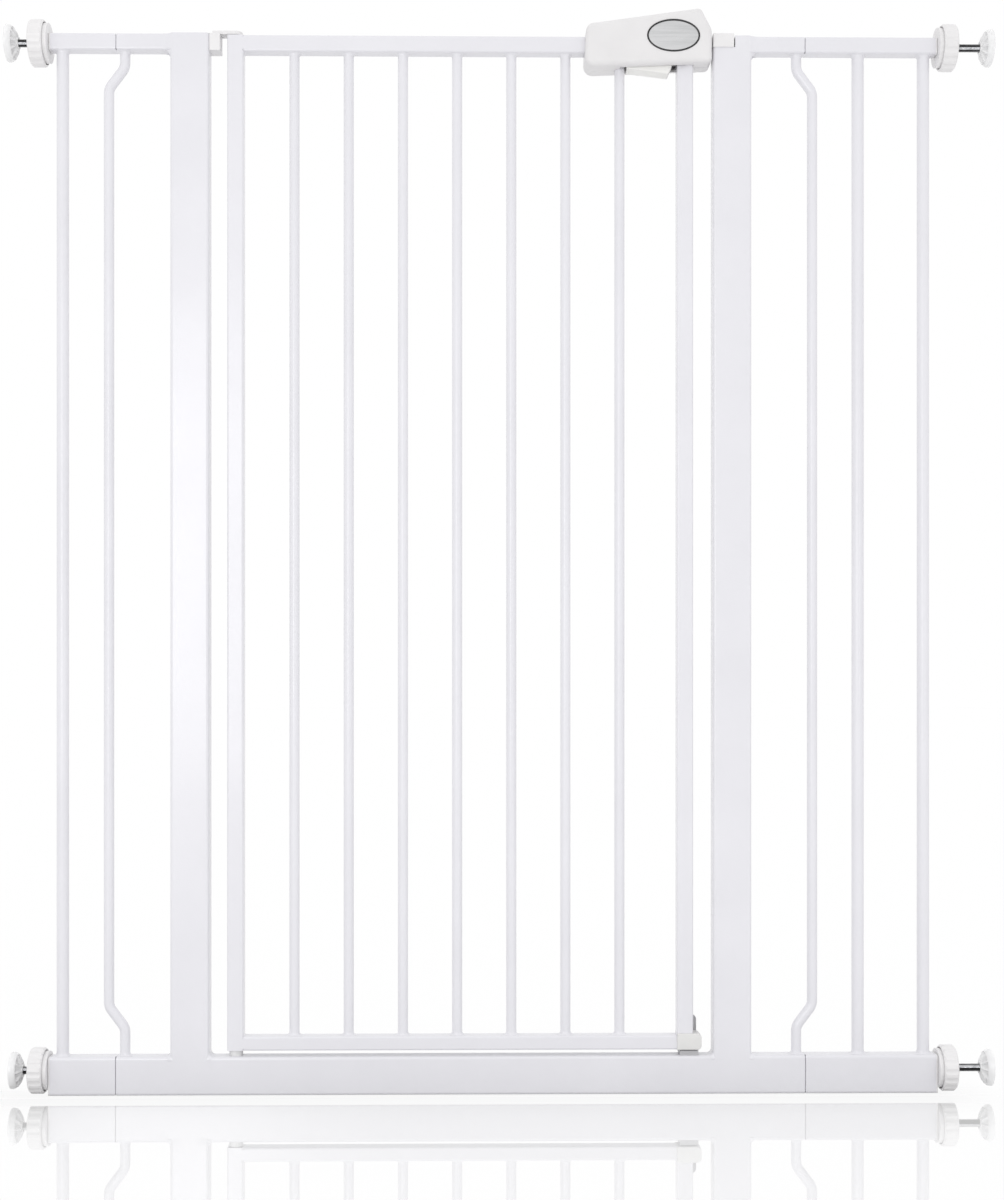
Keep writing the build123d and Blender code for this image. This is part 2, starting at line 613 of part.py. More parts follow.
# Door top rail, slotted underneath for the trigger's finger
finger_lean = (door_rail_underside + LIGHT_WALL - pivot_z) * tan(radians(TRIGGER_TRAVEL))
finger_room = FINGER_SHANK / 2 + FINGER_CLEARANCE
with BuildPart() as door_top_rail:
    with BuildSketch(Plane.YZ.offset(hinge_stile_face)):
        with Locations((0, door_rail_z)):
            tube_section(LIGHT_TUBE, LIGHT_TUBE, LIGHT_WALL, LIGHT_CORNER)
    extrude(amount=door_end_x - hinge_stile_face)
    span_box(
        (pivot_x - finger_lean - finger_room, pivot_x + finger_room),
        (-FINGER_WIDTH / 2 - FINGER_CLEARANCE, FINGER_WIDTH / 2 + FINGER_CLEARANCE),
        (door_rail_underside - LIGHT_WALL, door_rail_underside + 2 * LIGHT_WALL),
        mode=Mode.SUBTRACT,
    )
door_top_rail.part.label = "door_top_rail"
export_step(door_top_rail.part, "parts/door_top_rail.step")

# Door bottom rail
with BuildPart() as door_bottom_rail:
    with BuildSketch(Plane.YZ.offset(hinge_stile_face)):
        with Locations((0, door_bottom + DOOR_RAIL_HEIGHT / 2)):
            tube_section(LIGHT_TUBE, DOOR_RAIL_HEIGHT, LIGHT_WALL, LIGHT_CORNER)
    extrude(amount=latch_stile_face - hinge_stile_face)
door_bottom_rail.part.label = "door_bottom_rail"
export_step(door_bottom_rail.part, "parts/door_bottom_rail.step")

# Door bars, evenly spaced between the rails
bar_foot_z = door_bottom + DOOR_RAIL_HEIGHT
for index in range(DOOR_BAR_COUNT):
    with BuildPart() as door_bar:
        with BuildSketch(Plane.XY.offset(bar_foot_z)):
            with Locations((first_bar_x + index * door_bar_pitch, 0)):
                bar_section(DOOR_BAR_DIAMETER)
        extrude(amount=door_rail_underside - bar_foot_z)
    door_bar.part.label = f"door_bar_{index + 1}"
    export_step(door_bar.part, f"parts/door_bar_{index + 1}.step")

# Outline of the latch housing seen from the front, and the same outline inside its wall
with BuildSketch(Plane.XZ) as housing_outline:
    with BuildLine():
        FilletPolyline(
            (housing_start_x, door_top - HOUSING_LEFT_DROP),
            (housing_start_x + HOUSING_LEAN, door_top + HOUSING_LEFT_RISE),
            (housing_end_x - SHOULDER_RUN, door_top + HOUSING_RIGHT_RISE),
            (housing_end_x, door_top + HOUSING_RIGHT_RISE - SHOULDER_DROP),
            (housing_end_x, door_top - HOUSING_RIGHT_DROP),
            radius=(
                HOUSING_FOOT_RADIUS,
                HOUSING_HEAD_RADIUS,
                HOUSING_PEAK_RADIUS,
                HOUSING_SHOULDER_RADIUS,
                HOUSING_HEEL_RADIUS,
            ),
            close=True,
        )
    make_face()
with BuildSketch(Plane.XZ) as housing_cavity:
    add(housing_outline.sketch_local)
    offset(amount=-HOUSING_WALL)

# Two moulded shells that meet in the middle plane, round the door's top rail
half_depth = HOUSING_DEPTH / 2
inner_depth = half_depth - HOUSING_WALL
screw_z = door_top + SCREW_BOSS_DIAMETER / 2 + SLIP_FIT
screw_places = (
    (housing_start_x + SCREW_INSET, screw_z),
    (housing_end_x - SCREW_INSET, screw_z),
)
saddle_places = (housing_start_x + SADDLE_INSET, latch_x)
badge_x = housing_end_x - BADGE_INSET
badge_z = door_top + BADGE_RISE
for side, shell_name in ((-1, "latch_housing_front"), (1, "latch_housing_back")):
    outward = (0, side, 0)
    with BuildPart() as shell:
        extrude(housing_outline.sketch, amount=half_depth, dir=outward)
        outer_face = shell.faces().sort_by(Axis.Y)[0 if side < 0 else -1]
        fillet(outer_face.edges(), HOUSING_EDGE_RADIUS)
        parting_face = shell.faces().sort_by(Axis.Y)[-1 if side < 0 else 0]
        chamfer(parting_face.edges(), PARTING_CHAMFER)
        extrude(housing_cavity.sketch, amount=inner_depth, dir=outward, mode=Mode.SUBTRACT)
        # Ribs that bear on the rail, screw bosses and the pivot boss
        for saddle_x in saddle_places:
            span_box(
                (saddle_x - SADDLE_WIDTH / 2, saddle_x + SADDLE_WIDTH / 2),
                sorted((side * LIGHT_TUBE / 2, side * (inner_depth + HOUSING_WALL / 2))),
                (door_rail_underside, door_top),
            )
        with BuildSketch(Plane.XZ):
            with Locations(*screw_places):
                Circle(SCREW_BOSS_DIAMETER / 2)
        extrude(amount=-side * (inner_depth + HOUSING_WALL / 2))
        with BuildSketch(Plane.XZ.offset(-side * (TRIGGER_DEPTH / 2 + TRIGGER_SIDE_GAP))):
            with Locations((pivot_x, pivot_z)):
                Circle(PIVOT_BOSS_DIAMETER / 2)
        extrude(amount=-side * (inner_depth - TRIGGER_DEPTH / 2 - TRIGGER_SIDE_GAP + HOUSING_WALL / 2))
        with BuildSketch(Plane.XZ):
            with Locations((pivot_x, pivot_z)):
                Circle(PIVOT_PIN_DIAMETER / 2 + PUSH_FIT)
        extrude(amount=-side * inner_depth, mode=Mode.SUBTRACT)
        # Openings for the rail, the last bar, the latch stile, the trigger and the bolt
        rail_room = LIGHT_TUBE / 2 + SLIP_FIT
        span_box(
            (housing_start_x - HOUSING_WALL, housing_start_x + 3 * HOUSING_WALL),
            (-rail_room, rail_room),
            (door_rail_z - rail_room, door_rail_z + rail_room),
            mode=Mode.SUBTRACT,
        )
        with BuildSketch(Plane.XY.offset(door_rail_underside)):
            with Locations((last_bar_x, 0)):
                Circle(DOOR_BAR_DIAMETER / 2 + SLIP_FIT)
            with Locations((latch_x, 0)):
                Rectangle(2 * rail_room, 2 * rail_room)
            with Locations(((last_bar_x + latch_x) / 2, 0)):
                Rectangle(latch_x - last_bar_x, TRIGGER_DEPTH + 2 * TRIGGER_SIDE_GAP)
        extrude(amount=-HOUSING_LEFT_DROP, mode=Mode.SUBTRACT)
        span_box(
            (housing_end_x - 3 * HOUSING_WALL, housing_end_x + HOUSING_WALL),
            (-NOSE_WIDTH / 2 - NOSE_SLACK, NOSE_WIDTH / 2 + NOSE_SLACK),
            (nose_bottom - NOSE_SLACK, nose_top + NOSE_SLACK),
            mode=Mode.SUBTRACT,
        )
        if side < 0:
            # Screw pilots and the shallow seat of the badge
            with BuildSketch(Plane.XZ):
                with Locations(*screw_places):
                    Circle(SCREW_DIAMETER / 2 + PUSH_FIT)
            extrude(amount=inner_depth, mode=Mode.SUBTRACT)
            with BuildSketch(Plane.XZ.offset(half_depth)):
                with Locations((badge_x, badge_z)):
                    Ellipse(BADGE_WIDTH / 2 + PUSH_FIT, BADGE_HEIGHT / 2 + PUSH_FIT)
            extrude(amount=-BADGE_RECESS, mode=Mode.SUBTRACT)
        else:
            # Clearance holes and counterbores for the screw heads
            with BuildSketch(Plane.XZ):
                with Locations(*screw_places):
                    Circle(SCREW_DIAMETER / 2 + SLIP_FIT)
            extrude(amount=-half_depth, mode=Mode.SUBTRACT)
            with BuildSketch(Plane.XZ.offset(-half_depth)):
                with Locations(*screw_places):
                    Circle(SCREW_HEAD_DIAMETER / 2 + SLIP_FIT)
            extrude(amount=SCREW_HEAD_HEIGHT, mode=Mode.SUBTRACT)
    shell.part.label = shell_name
    export_step(shell.part, f"parts/{shell_name}.step")

# Screws that draw the two shells together from behind
with BuildPart() as latch_housing_screws:
    with BuildSketch(Plane.XZ.offset(-half_depth)):
        with Locations(*screw_places):
            Circle(SCREW_HEAD_DIAMETER / 2)
    extrude(amount=SCREW_HEAD_HEIGHT)
    with BuildSketch(Plane.XZ.offset(-half_depth)):
        with Locations(*screw_places):
            Circle(SCREW_DIAMETER / 2)
    extrude(amount=SCREW_LENGTH)
latch_housing_screws.part.label = "latch_housing_screws"
export_step(latch_housing_screws.part, "parts/latch_housing_screws.step")

# Bare oval plate on the front shell
with BuildPart() as badge_plate:
    with BuildSketch(Plane.XZ.offset(half_depth - BADGE_RECESS)):
        with Locations((badge_x, badge_z)):
            Ellipse(BADGE_WIDTH / 2, BADGE_HEIGHT / 2)
    extrude(amount=BADGE_THICKNESS)
    chamfer(badge_plate.faces().sort_by(Axis.Y)[0].edges(), BADGE_EDGE)
badge_plate.part.label = "badge_plate"
export_step(badge_plate.part, "parts/badge_plate.step")

# Trigger: a paddle that hangs below the housing, its pivot boss and the finger that draws the bolt
trigger_tip_x = latch_stile_face - TRIGGER_END_GAP
trigger_root_x = pivot_x - PIVOT_BOSS_DIAMETER / 2
with BuildPart() as trigger:
    with BuildSketch(Plane.XZ):
        with BuildLine():
            FilletPolyline(
                (trigger_root_x, pivot_z),
                (trigger_root_x, pivot_z - TRIGGER_ROOT_DROP),
                (trigger_tip_x - TRIGGER_TIP_LEAN, pivot_z - TRIGGER_TIP_DROP),
                (trigger_tip_x, pivot_z - TRIGGER_TOP_DROP),
                (pivot_x + PIVOT_BOSS_DIAMETER, pivot_z),
                radius=TRIGGER_CORNER,
                close=True,
            )
        make_face()
    extrude(amount=TRIGGER_DEPTH / 2, both=True)
    fillet(trigger.faces().filter_by(Axis.Y).edges(), TRIGGER_EDGE)
    with BuildSketch(Plane.XZ):
        with Locations((pivot_x, pivot_z)):
            Circle(PIVOT_BOSS_DIAMETER / 2)
    extrude(amount=TRIGGER_DEPTH / 2, both=True)
    span_box(
        (pivot_x - FINGER_SHANK / 2, pivot_x + FINGER_SHANK / 2),
        (-FINGER_WIDTH / 2, FINGER_WIDTH / 2),
        (pivot_z, finger_tip_z),
    )
    with BuildSketch(Plane.XZ):
        with Locations((pivot_x, finger_tip_z)):
            Circle(FINGER_TIP_DIAMETER / 2)
    extrude(amount=FINGER_WIDTH / 2, both=True)
    with BuildSketch(Plane.XZ):
        with Locations((pivot_x, pivot_z)):
            Circle(PIVOT_PIN_DIAMETER / 2 + RUNNING_FIT)
    extrude(amount=TRIGGER_DEPTH, both=True, mode=Mode.SUBTRACT)
trigger.part.label = "trigger"
export_step(trigger.part, "parts/trigger.step")

# Pivot pin between the two shells
with BuildPart() as trigger_pivot_pin:
    with BuildSketch(Plane.XZ):
        with Locations((pivot_x, pivot_z)):
            Circle(PIVOT_PIN_DIAMETER / 2)
    extrude(amount=inner_depth, both=True)
trigger_pivot_pin.part.label = "trigger_pivot_pin"
export_step(trigger_pivot_pin.part, "parts/trigger_pivot_pin.step")

# Latch bolt: a square slider in the top rail, notched for the finger, with a nose bevelled both ways
notch_half = FINGER_TIP_DIAMETER / 2 + FINGER_PLAY
notch_top = finger_tip_z + FINGER_TIP_DIAMETER / 2 + FINGER_CLEARANCE
mouth_top = finger_tip_z - FINGER_TIP_DIAMETER / 2 - FINGER_CLEARANCE
finger_slot = (-FINGER_WIDTH / 2 - FINGER_CLEARANCE, FINGER_WIDTH / 2 + FINGER_CLEARANCE)
with BuildPart() as latch_bolt:
    span_box(
        (bolt_back_x, bolt_front_x),
        (-bolt_size / 2, bolt_size / 2),
        (bolt_top - bolt_size, bolt_top),
    )
    with BuildSketch(Plane.XY.offset(nose_bottom)):
        with BuildLine():
            Polyline(
                (bolt_front_x, -NOSE_WIDTH / 2),
                (nose_tip_x - NOSE_BEVEL, -NOSE_WIDTH / 2),
                (nose_tip_x, -NOSE_WIDTH / 2 + NOSE_BEVEL),
                (nose_tip_x, NOSE_WIDTH / 2 - NOSE_BEVEL),
                (nose_tip_x - NOSE_BEVEL, NOSE_WIDTH / 2),
                (bolt_front_x, NOSE_WIDTH / 2),
                close=True,
            )
        make_face()
    extrude(amount=NOSE_HEIGHT)
    with BuildSketch(Plane.YZ.offset(bolt_back_x)):
        with Locations((0, door_rail_z)):
            Circle(SPRING_PEG_DIAMETER / 2)
    extrude(amount=-SPRING_PEG_LENGTH)
    span_box(
        (pivot_x - notch_half, pivot_x + notch_half),
        finger_slot,
        (bolt_top - bolt_size, notch_top),
        mode=Mode.SUBTRACT,
    )
    span_box(
        (pivot_x - notch_half, pivot_x + notch_half + bolt_stroke),
        finger_slot,
        (bolt_top - bolt_size, mouth_top),
        mode=Mode.SUBTRACT,
    )
latch_bolt.part.label = "latch_bolt"
export_step(latch_bolt.part, "parts/latch_bolt.step")

# Stop plug in the rail, with a peg that centres the spring
with BuildPart() as spring_stop:
    with BuildSketch(Plane.YZ.offset(spring_stop_x)):
        with Locations((0, door_rail_z)):
            RectangleRounded(stile_plug_size, stile_plug_size, stile_plug_corner)
    extrude(amount=-SPRING_STOP_LENGTH)
    with BuildSketch(Plane.YZ.offset(spring_stop_x)):
        with Locations((0, door_rail_z)):
            Circle(SPRING_PEG_DIAMETER / 2)
    extrude(amount=SPRING_PEG_LENGTH)
spring_stop.part.label = "spring_stop"
export_step(spring_stop.part, "parts/spring_stop.step")

# Compression spring between the stop and the bolt's back
spring_radius = SPRING_PEG_DIAMETER / 2 + SEAT_GAP + SPRING_WIRE / 2
spring_rise = SPRING_LENGTH - SPRING_WIRE - 2 * PUSH_FIT
spring_start_x = spring_stop_x + SPRING_WIRE / 2 + PUSH_FIT
with BuildPart() as bolt_spring:
    with BuildLine() as spring_path:
        Helix(
            pitch=spring_rise / SPRING_TURNS,
            height=spring_rise,
            radius=spring_radius,
            center=(spring_start_x, 0, door_rail_z),
            direction=(1, 0, 0),
        )
    with BuildSketch(Plane(origin=spring_path.line @ 0, z_dir=spring_path.line % 0)):
        RegularPolygon(SPRING_WIRE / 2, SPRING_WIRE_SIDES)
    sweep(path=spring_path.line, is_frenet=True)
bolt_spring.part.label = "bolt_spring"
export_step(bolt_spring.part, "parts/bolt_spring.step")

# Catch in the right post's notch: a block with the bolt's pocket and a plug down into the post
catch_depth = FRAME_DEPTH / 2 + CATCH_PROUD
catch_plug_start_x = post_inner_x + HEAVY_WALL + SLIP_FIT
catch_plug_end_x = post_inner_x + CATCH_WIDTH
pocket_end_x = nose_tip_x + CATCH_BACK_ROOM
with BuildPart() as latch_catch:
    span_box(
        (post_inner_x, post_inner_x + CATCH_WIDTH),
        (-catch_depth, catch_depth),
        (catch_bottom, FRAME_HEIGHT + CATCH_RISE),
    )
    fillet(latch_catch.edges().filter_by(Axis.Z), CATCH_EDGE)
    fillet(latch_catch.faces().sort_by(Axis.Z)[-1].edges(), CATCH_EDGE)
    with BuildSketch(Plane.XY.offset(catch_bottom)):
        with Locations(((catch_plug_start_x + catch_plug_end_x) / 2, 0)):
            RectangleRounded(
                catch_plug_end_x - catch_plug_start_x,
                heavy_bore_depth - 2 * SLIP_FIT,
                max(HEAVY_CORNER - HEAVY_WALL, SMALLEST_CORNER),
            )
    extrude(amount=-CATCH_PLUG_DEPTH)
    span_box(
        (post_inner_x - CATCH_WIDTH, pocket_end_x),
        (-NOSE_WIDTH / 2 - NOSE_SLACK, NOSE_WIDTH / 2 + NOSE_SLACK),
        (nose_bottom - NOSE_SLACK, nose_top + NOSE_SLACK),
        mode=Mode.SUBTRACT,
    )
latch_catch.part.label = "latch_catch"
export_step(latch_catch.part, "parts/latch_catch.step")

# Moulded cap round the foot of the latch stile, rounded at its free end
cap_half_depth = LIGHT_TUBE / 2 + CAP_WALL
cap_end_x = door_end_x + CAP_NOSE
with BuildPart() as door_corner_cap:
    span_box(
        (latch_stile_face, cap_end_x),
        (-cap_half_depth, cap_half_depth),
        (door_bottom, door_bottom + CAP_HEIGHT),
    )
    free_end = door_corner_cap.faces().sort_by(Axis.X)[-1]
    fillet(free_end.edges().filter_by(Axis.Y), CAP_NOSE / 2)
    fillet(door_corner_cap.faces().filter_by(Axis.Y).edges(), CAP_EDGE)
    span_box(
        (latch_stile_face - CAP_WALL, door_end_x + PUSH_FIT),
        (-LIGHT_TUBE / 2 - PUSH_FIT, LIGHT_TUBE / 2 + PUSH_FIT),
        (door_bottom + CAP_FLOOR, door_bottom + 2 * CAP_HEIGHT),
        mode=Mode.SUBTRACT,
    )
door_corner_cap.part.label = "door_corner_cap"
export_step(door_corner_cap.part, "parts/door_corner_cap.step")

# Stop bracket: a foot on the bottom rail under the cap, and an upright that the door closes against
stop_face_y = cap_half_depth + SEAT_GAP
stop_back_y = stop_face_y + STOP_THICKNESS
stop_right_x = latch_x + STOP_RIGHT
with BuildPart() as door_stop_bracket:
    span_box(
        (latch_x - STOP_LEFT, stop_right_x),
        (-FRAME_DEPTH / 2 + STOP_FRONT_INSET, stop_back_y),
        (RAIL_HEIGHT, door_bottom - STOP_RUNNING_GAP),
    )
    span_box(
        (stop_right_x - STOP_UPRIGHT_WIDTH, stop_right_x),
        (stop_face_y, stop_back_y),
        (RAIL_HEIGHT, RAIL_HEIGHT + STOP_HEIGHT),
    )
    upright_top = door_stop_bracket.faces().sort_by(Axis.Z)[-1]
    fillet(upright_top.edges().filter_by(Axis.Y), STOP_UPRIGHT_WIDTH / 3)
door_stop_bracket.part.label = "door_stop_bracket"
export_step(door_stop_bracket.part, "parts/door_stop_bracket.step")
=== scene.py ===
import json
from math import cos, pi, radians, sin, sqrt, tau

import bmesh
import bpy
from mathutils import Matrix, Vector


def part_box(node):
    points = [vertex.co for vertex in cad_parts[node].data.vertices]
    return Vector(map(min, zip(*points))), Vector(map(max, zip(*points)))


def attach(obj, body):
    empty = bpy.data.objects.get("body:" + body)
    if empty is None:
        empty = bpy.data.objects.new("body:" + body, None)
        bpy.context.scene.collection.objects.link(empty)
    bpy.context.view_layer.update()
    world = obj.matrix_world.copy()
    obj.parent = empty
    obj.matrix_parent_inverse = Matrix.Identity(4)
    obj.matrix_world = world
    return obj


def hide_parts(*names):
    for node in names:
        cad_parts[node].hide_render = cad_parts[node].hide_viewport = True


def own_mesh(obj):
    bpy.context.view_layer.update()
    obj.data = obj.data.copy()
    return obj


# A white pressure-fit pet gate on a white studio floor, in metres, in the frame of the solids:
# X runs across the doorway, the front looks to -Y, +Z is up.
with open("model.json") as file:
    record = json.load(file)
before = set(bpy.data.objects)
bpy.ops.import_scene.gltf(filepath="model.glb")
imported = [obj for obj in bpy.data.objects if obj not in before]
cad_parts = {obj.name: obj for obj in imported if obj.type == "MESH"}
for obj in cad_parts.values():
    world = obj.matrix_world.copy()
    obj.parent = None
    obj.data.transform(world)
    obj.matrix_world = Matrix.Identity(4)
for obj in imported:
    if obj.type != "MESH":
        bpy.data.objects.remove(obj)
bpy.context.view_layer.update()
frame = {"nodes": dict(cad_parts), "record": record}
MM = 0.001
CORNERS = ("left_top", "left_bottom", "right_top", "right_bottom")
SMOOTH_ANGLE = 40.0

# Camera, level and in front of the gate
CAMERA_PLACE = (0.0133, -1.774, 0.397)
CAMERA_YAW = -0.857
CAMERA_LENS = 53.99
CAMERA_SHIFT_Y = 0.075

# Light: an even surround that is weaker behind the gate, an overhead lamp, a tall softbox beside the
# camera and a weak one on the right
SURROUND_FRONT = 1.01
SURROUND_BACK = 0.72
OVERHEAD_POWER = 0.45
OVERHEAD_SPREAD = 120.0
KEY_PLACE = (-0.66, -2.15, 0.70)
KEY_AIM = (-0.25, 0.0, 0.54)
KEY_SIZE = (0.45, 1.0)
KEY_POWER = 7.2
FILL_PLACE = (1.05, -1.5, 0.45)
FILL_AIM = (0.40, 0.0, 0.45)
FILL_SIZE = (0.3, 0.9)
FILL_POWER = 1.0

# Floor: it lies a little below the rail, as the photo's mirror image shows
FLOOR_HALF_SIZE = 40.0
FLOOR_DROP = 4.0 * MM
FLOOR_GLOW = 0.90
FLOOR_MIRROR_POWER = 3.0
# Painted shadow: a grey strip on the floor by the gate, with the distances between which it fades out across
# and in depth
CONTACT_SHADOW_TONE = 0.60
CONTACT_REACH_X = (0.46, 0.56)
CONTACT_SHADOW_REACH_Y = (0.045, 0.085)
# Distances from the gate's middle plane between which the mirror's dull band sets in and ends
DULL_START = (2.0 * MM, 5.0 * MM)
DULL_END = (31.0 * MM, 36.0 * MM)

# Noise in the surfaces
NOISE_SPAN = (0.3, 0.7)
BLOTCH_DETAIL = 3
GRAIN_DETAIL = 2

# Weld metal
WELD_SIDE_LEG = 4.2 * MM
WELD_FRONT_LEG = 1.5 * MM
WELD_HEIGHT = 3.2 * MM
WELD_SINK = 0.8 * MM
SLIM_LEG = 1.2 * MM
WELD_RIPPLE = 0.10
# Waves round a bead: number, strength, and shift with the bead's x and z per metre
WELD_WAVES = ((5, 1.0, 70, 0), (9, 0.6, 110, 30))
WELD_STEPS = 40
FILLET_STEPS = 5
RUN_SIZES = (0.5, 0.85, 1, 0.95, 1.02, 0.97, 1, 0.85, 0.5)
SEAM_LEG = 2.4 * MM
STUB_LEG = 3.6 * MM
FOOT_LEG = 4.5 * MM
FOOT_LAP = 5.0 * MM
FOOT_ANGLES = (0, 15, 30, 45, 60, 75)
SEAM_SINK = 0.3 * MM
SEAM_PROUD = 0.04 * MM
HEAVY_CORNER = 3.0 * MM
LIGHT_CORNER = 2.0 * MM
CORNER_STEPS = 6

# Weld that eases a post into its stub: shares of its length with the drop below the post's face or the
# rise above the stub's, and distances below the stub with the share of the ramp that is left there
RAMP_LENGTH = 7.5 * MM
RAMP_HEAD = ((-0.2, 0.15 * MM), (0, 0.5 * MM))
RAMP_TAIL = ((0.4, 0.55 * MM), (0.75, 0.1 * MM), (1, 0))
RAMP_FADE = ((7 * MM, 0), (3 * MM, 0.2), (0.5 * MM, 0.5))
RAMP_ROOT = 1.0 * MM
RAMP_STEPS = 4

# Threaded rods
THREAD_PITCH = 1.25 * MM
THREAD_DEPTH = 0.72 * MM
THREAD_ROWS_PER_TURN = 6
THREAD_SIDES = 18
ROD_POINT = 0.8 * MM
# Painted reflection on the rods: tones at heights on a rod, from its bottom to its top, a bright line
# between dark streaks
TOP_PAINTED_REFLECTION = (
    (0, 0.35), (0.08, 0.12), (0.15, 0.12), (0.22, 1.0), (0.48, 1.0), (0.55, 0.10), (0.90, 0.12), (1, 0.35),
)
BOTTOM_PAINTED_REFLECTION = (
    (0, 0.35), (0.10, 0.12), (0.50, 0.08), (0.57, 1.0), (0.84, 1.0), (0.91, 0.25), (1, 0.35),
)

# Wall pads, measured from the front of the hub towards the wall
PAD_RADIUS = 18.0 * MM
PAD_LENGTH = 11.5 * MM
PAD_RIM = 1.5 * MM
PAD_RIBS = 10
PAD_RIB_HEIGHT = 0.8 * MM
PAD_RIB_WIDTH = 3.0 * MM
PAD_RIB_STEPS = 12
PAD_ROWS = 24
# The ribs and the hollows between them end at this share of the rows, inside a smooth band
PAD_RIBBED = 0.56
PAD_HOLLOW = 2.4 * MM
PAD_HOLLOW_EASE = 0.7
PAD_HUB_RADIUS = 6.5 * MM
PAD_SOCKET_RADIUS = 4.05 * MM
PAD_SOCKET_DEPTH = 8.0 * MM
PAD_ROUND = 0.4 * MM
# Grip rings in the wall face, as shares of the radius
PAD_GROOVE_DEPTH = 0.5 * MM
PAD_GROOVE_SLOPE = 0.02
PAD_GROOVES = ((0.84, 0.74), (0.62, 0.52), (0.40, 0.30))
PAD_MIDDLE = 0.1

# Screws of the latch housing
SCREW_SIDES = 32
SCREW_RADIUS = 1.5 * MM
SCREW_HEAD = 2.0 * MM
SCREW_EDGE = 0.4 * MM
SCREW_POINT = 1.5 * MM
SCREW_TIP_SHARE = 0.4
SCREW_ARM = 1.5 * MM
SCREW_ARM_TAPER = 0.6
SCREW_SLOT = 0.42 * MM
SCREW_SLOT_TAPER = 0.8
SCREW_RECESS = 1.1 * MM

# Coil spring behind the bolt
SPRING_WIRE = 1.0 * MM
SPRING_TURNS = 7
SPRING_ROWS = 28
SPRING_SIDES = 10

# Badge: distances in from its edge, or from its rim's inner edge for the face, and depths behind its front
BADGE_STEPS = 96
BADGE_RIM = 1.7 * MM
BADGE_RIM_PROFILE = (
    (0, 0.5 * MM), (0.15 * MM, 0.15 * MM), (0.5 * MM, 0), (BADGE_RIM - 0.5 * MM, 0), (BADGE_RIM, 0.4 * MM),
)
BADGE_FACE_LAP = 0.3 * MM
BADGE_FACE_PROFILE = (
    (-BADGE_FACE_LAP, 0.7 * MM), (2 * MM, 0.55 * MM), (6 * MM, 0.42 * MM), (10 * MM, 0.36 * MM),
)


def textured(name, tones, blotch, grain, relief, gloss, stretch=(1, 1, 1), **even):
    """A surface whose colour drifts between two tones in blotches, with a fine grain in relief and gloss.

    blotch and grain are sizes in metres, relief is a height in metres, and gloss is the range of the
    roughness. stretch draws the noise out along an axis. Other sockets keep one even value.
    """
    material = bpy.data.materials.new(name)
    material.use_nodes = True
    tree = material.node_tree
    shader = tree.nodes["Principled BSDF"]
    for socket, value in even.items():
        shader.inputs[socket.replace("_", " ")].default_value = value

    place = tree.nodes.new("ShaderNodeTexCoord")
    drawn = tree.nodes.new("ShaderNodeMapping")
    drawn.inputs["Scale"].default_value = stretch
    tree.links.new(place.outputs["Object"], drawn.inputs["Vector"])

    drift = tree.nodes.new("ShaderNodeTexNoise")
    drift.inputs["Scale"].default_value = 1 / blotch
    drift.inputs["Detail"].default_value = BLOTCH_DETAIL
    tree.links.new(drawn.outputs["Vector"], drift.inputs["Vector"])
    colour = tree.nodes.new("ShaderNodeValToRGB")
    for stop, position, tone in zip(colour.color_ramp.elements, NOISE_SPAN, tones):
        stop.position = position
        stop.color = (*tone, 1)
    tree.links.new(drift.outputs["Fac"], colour.inputs["Fac"])
    tree.links.new(colour.outputs["Color"], shader.inputs["Base Color"])

    speck = tree.nodes.new("ShaderNodeTexNoise")
    speck.inputs["Scale"].default_value = 1 / grain
    speck.inputs["Detail"].default_value = GRAIN_DETAIL
    tree.links.new(drawn.outputs["Vector"], speck.inputs["Vector"])
    rough = tree.nodes.new("ShaderNodeMapRange")
    for socket, value in zip(("From Min", "From Max", "To Min", "To Max"), (*NOISE_SPAN, *gloss)):
        rough.inputs[socket].default_value = value
    tree.links.new(speck.outputs["Fac"], rough.inputs["Value"])
    tree.links.new(rough.outputs["Result"], shader.inputs["Roughness"])

    bump = tree.nodes.new("ShaderNodeBump")
    bump.inputs["Distance"].default_value = relief
    tree.links.new(speck.outputs["Fac"], bump.inputs["Height"])
    tree.links.new(bump.outputs["Normal"], shader.inputs["Normal"])
    return material


def darkened(tree, colour):
    """Has what feeds a colour socket multiplied by a tint, and returns the sockets for share and tint."""
    mix = tree.nodes.new("ShaderNodeMix")
    mix.data_type = "RGBA"
    mix.blend_type = "MULTIPLY"
    sockets = {socket.identifier: socket for socket in (*mix.inputs, *mix.outputs)}
    tree.links.new(colour.links[0].from_socket, sockets["A_Color"])
    tree.links.new(sockets["Result_Color"], colour)
    return sockets["Factor_Float"], sockets["B_Color"]


def rod_with_painted_reflection(name, painted_reflection):
    """Plated steel with a painted reflection: a bright line between dark streaks, given as tones at heights
    on the rod.
    """
    material = textured(
        name, ((0.58, 0.585, 0.60), (0.80, 0.805, 0.82)),
        blotch=4 * MM, grain=0.4 * MM, relief=0.01 * MM, gloss=(0.10, 0.20), Metallic=1.0,
    )
    tree = material.node_tree
    whole = tree.nodes.new("ShaderNodeTexCoord")
    height = tree.nodes.new("ShaderNodeSeparateXYZ")
    reflection_bands = tree.nodes.new("ShaderNodeValToRGB")
    reflection_bands.color_ramp.elements.remove(reflection_bands.color_ramp.elements[1])
    for number, (place, tone) in enumerate(painted_reflection):
        stop = reflection_bands.color_ramp.elements.new(place) if number else reflection_bands.color_ramp.elements[0]
        stop.position = place
        stop.color = (tone, tone, tone, 1)
    tree.links.new(whole.outputs["Generated"], height.inputs["Vector"])
    tree.links.new(height.outputs["Z"], reflection_bands.inputs["Fac"])
    # The painted reflection multiplies the plating's colour
    share, tint = darkened(tree, tree.nodes["Principled BSDF"].inputs["Base Color"])
    share.default_value = 1.0
    tree.links.new(reflection_bands.outputs["Color"], tint)
    return material
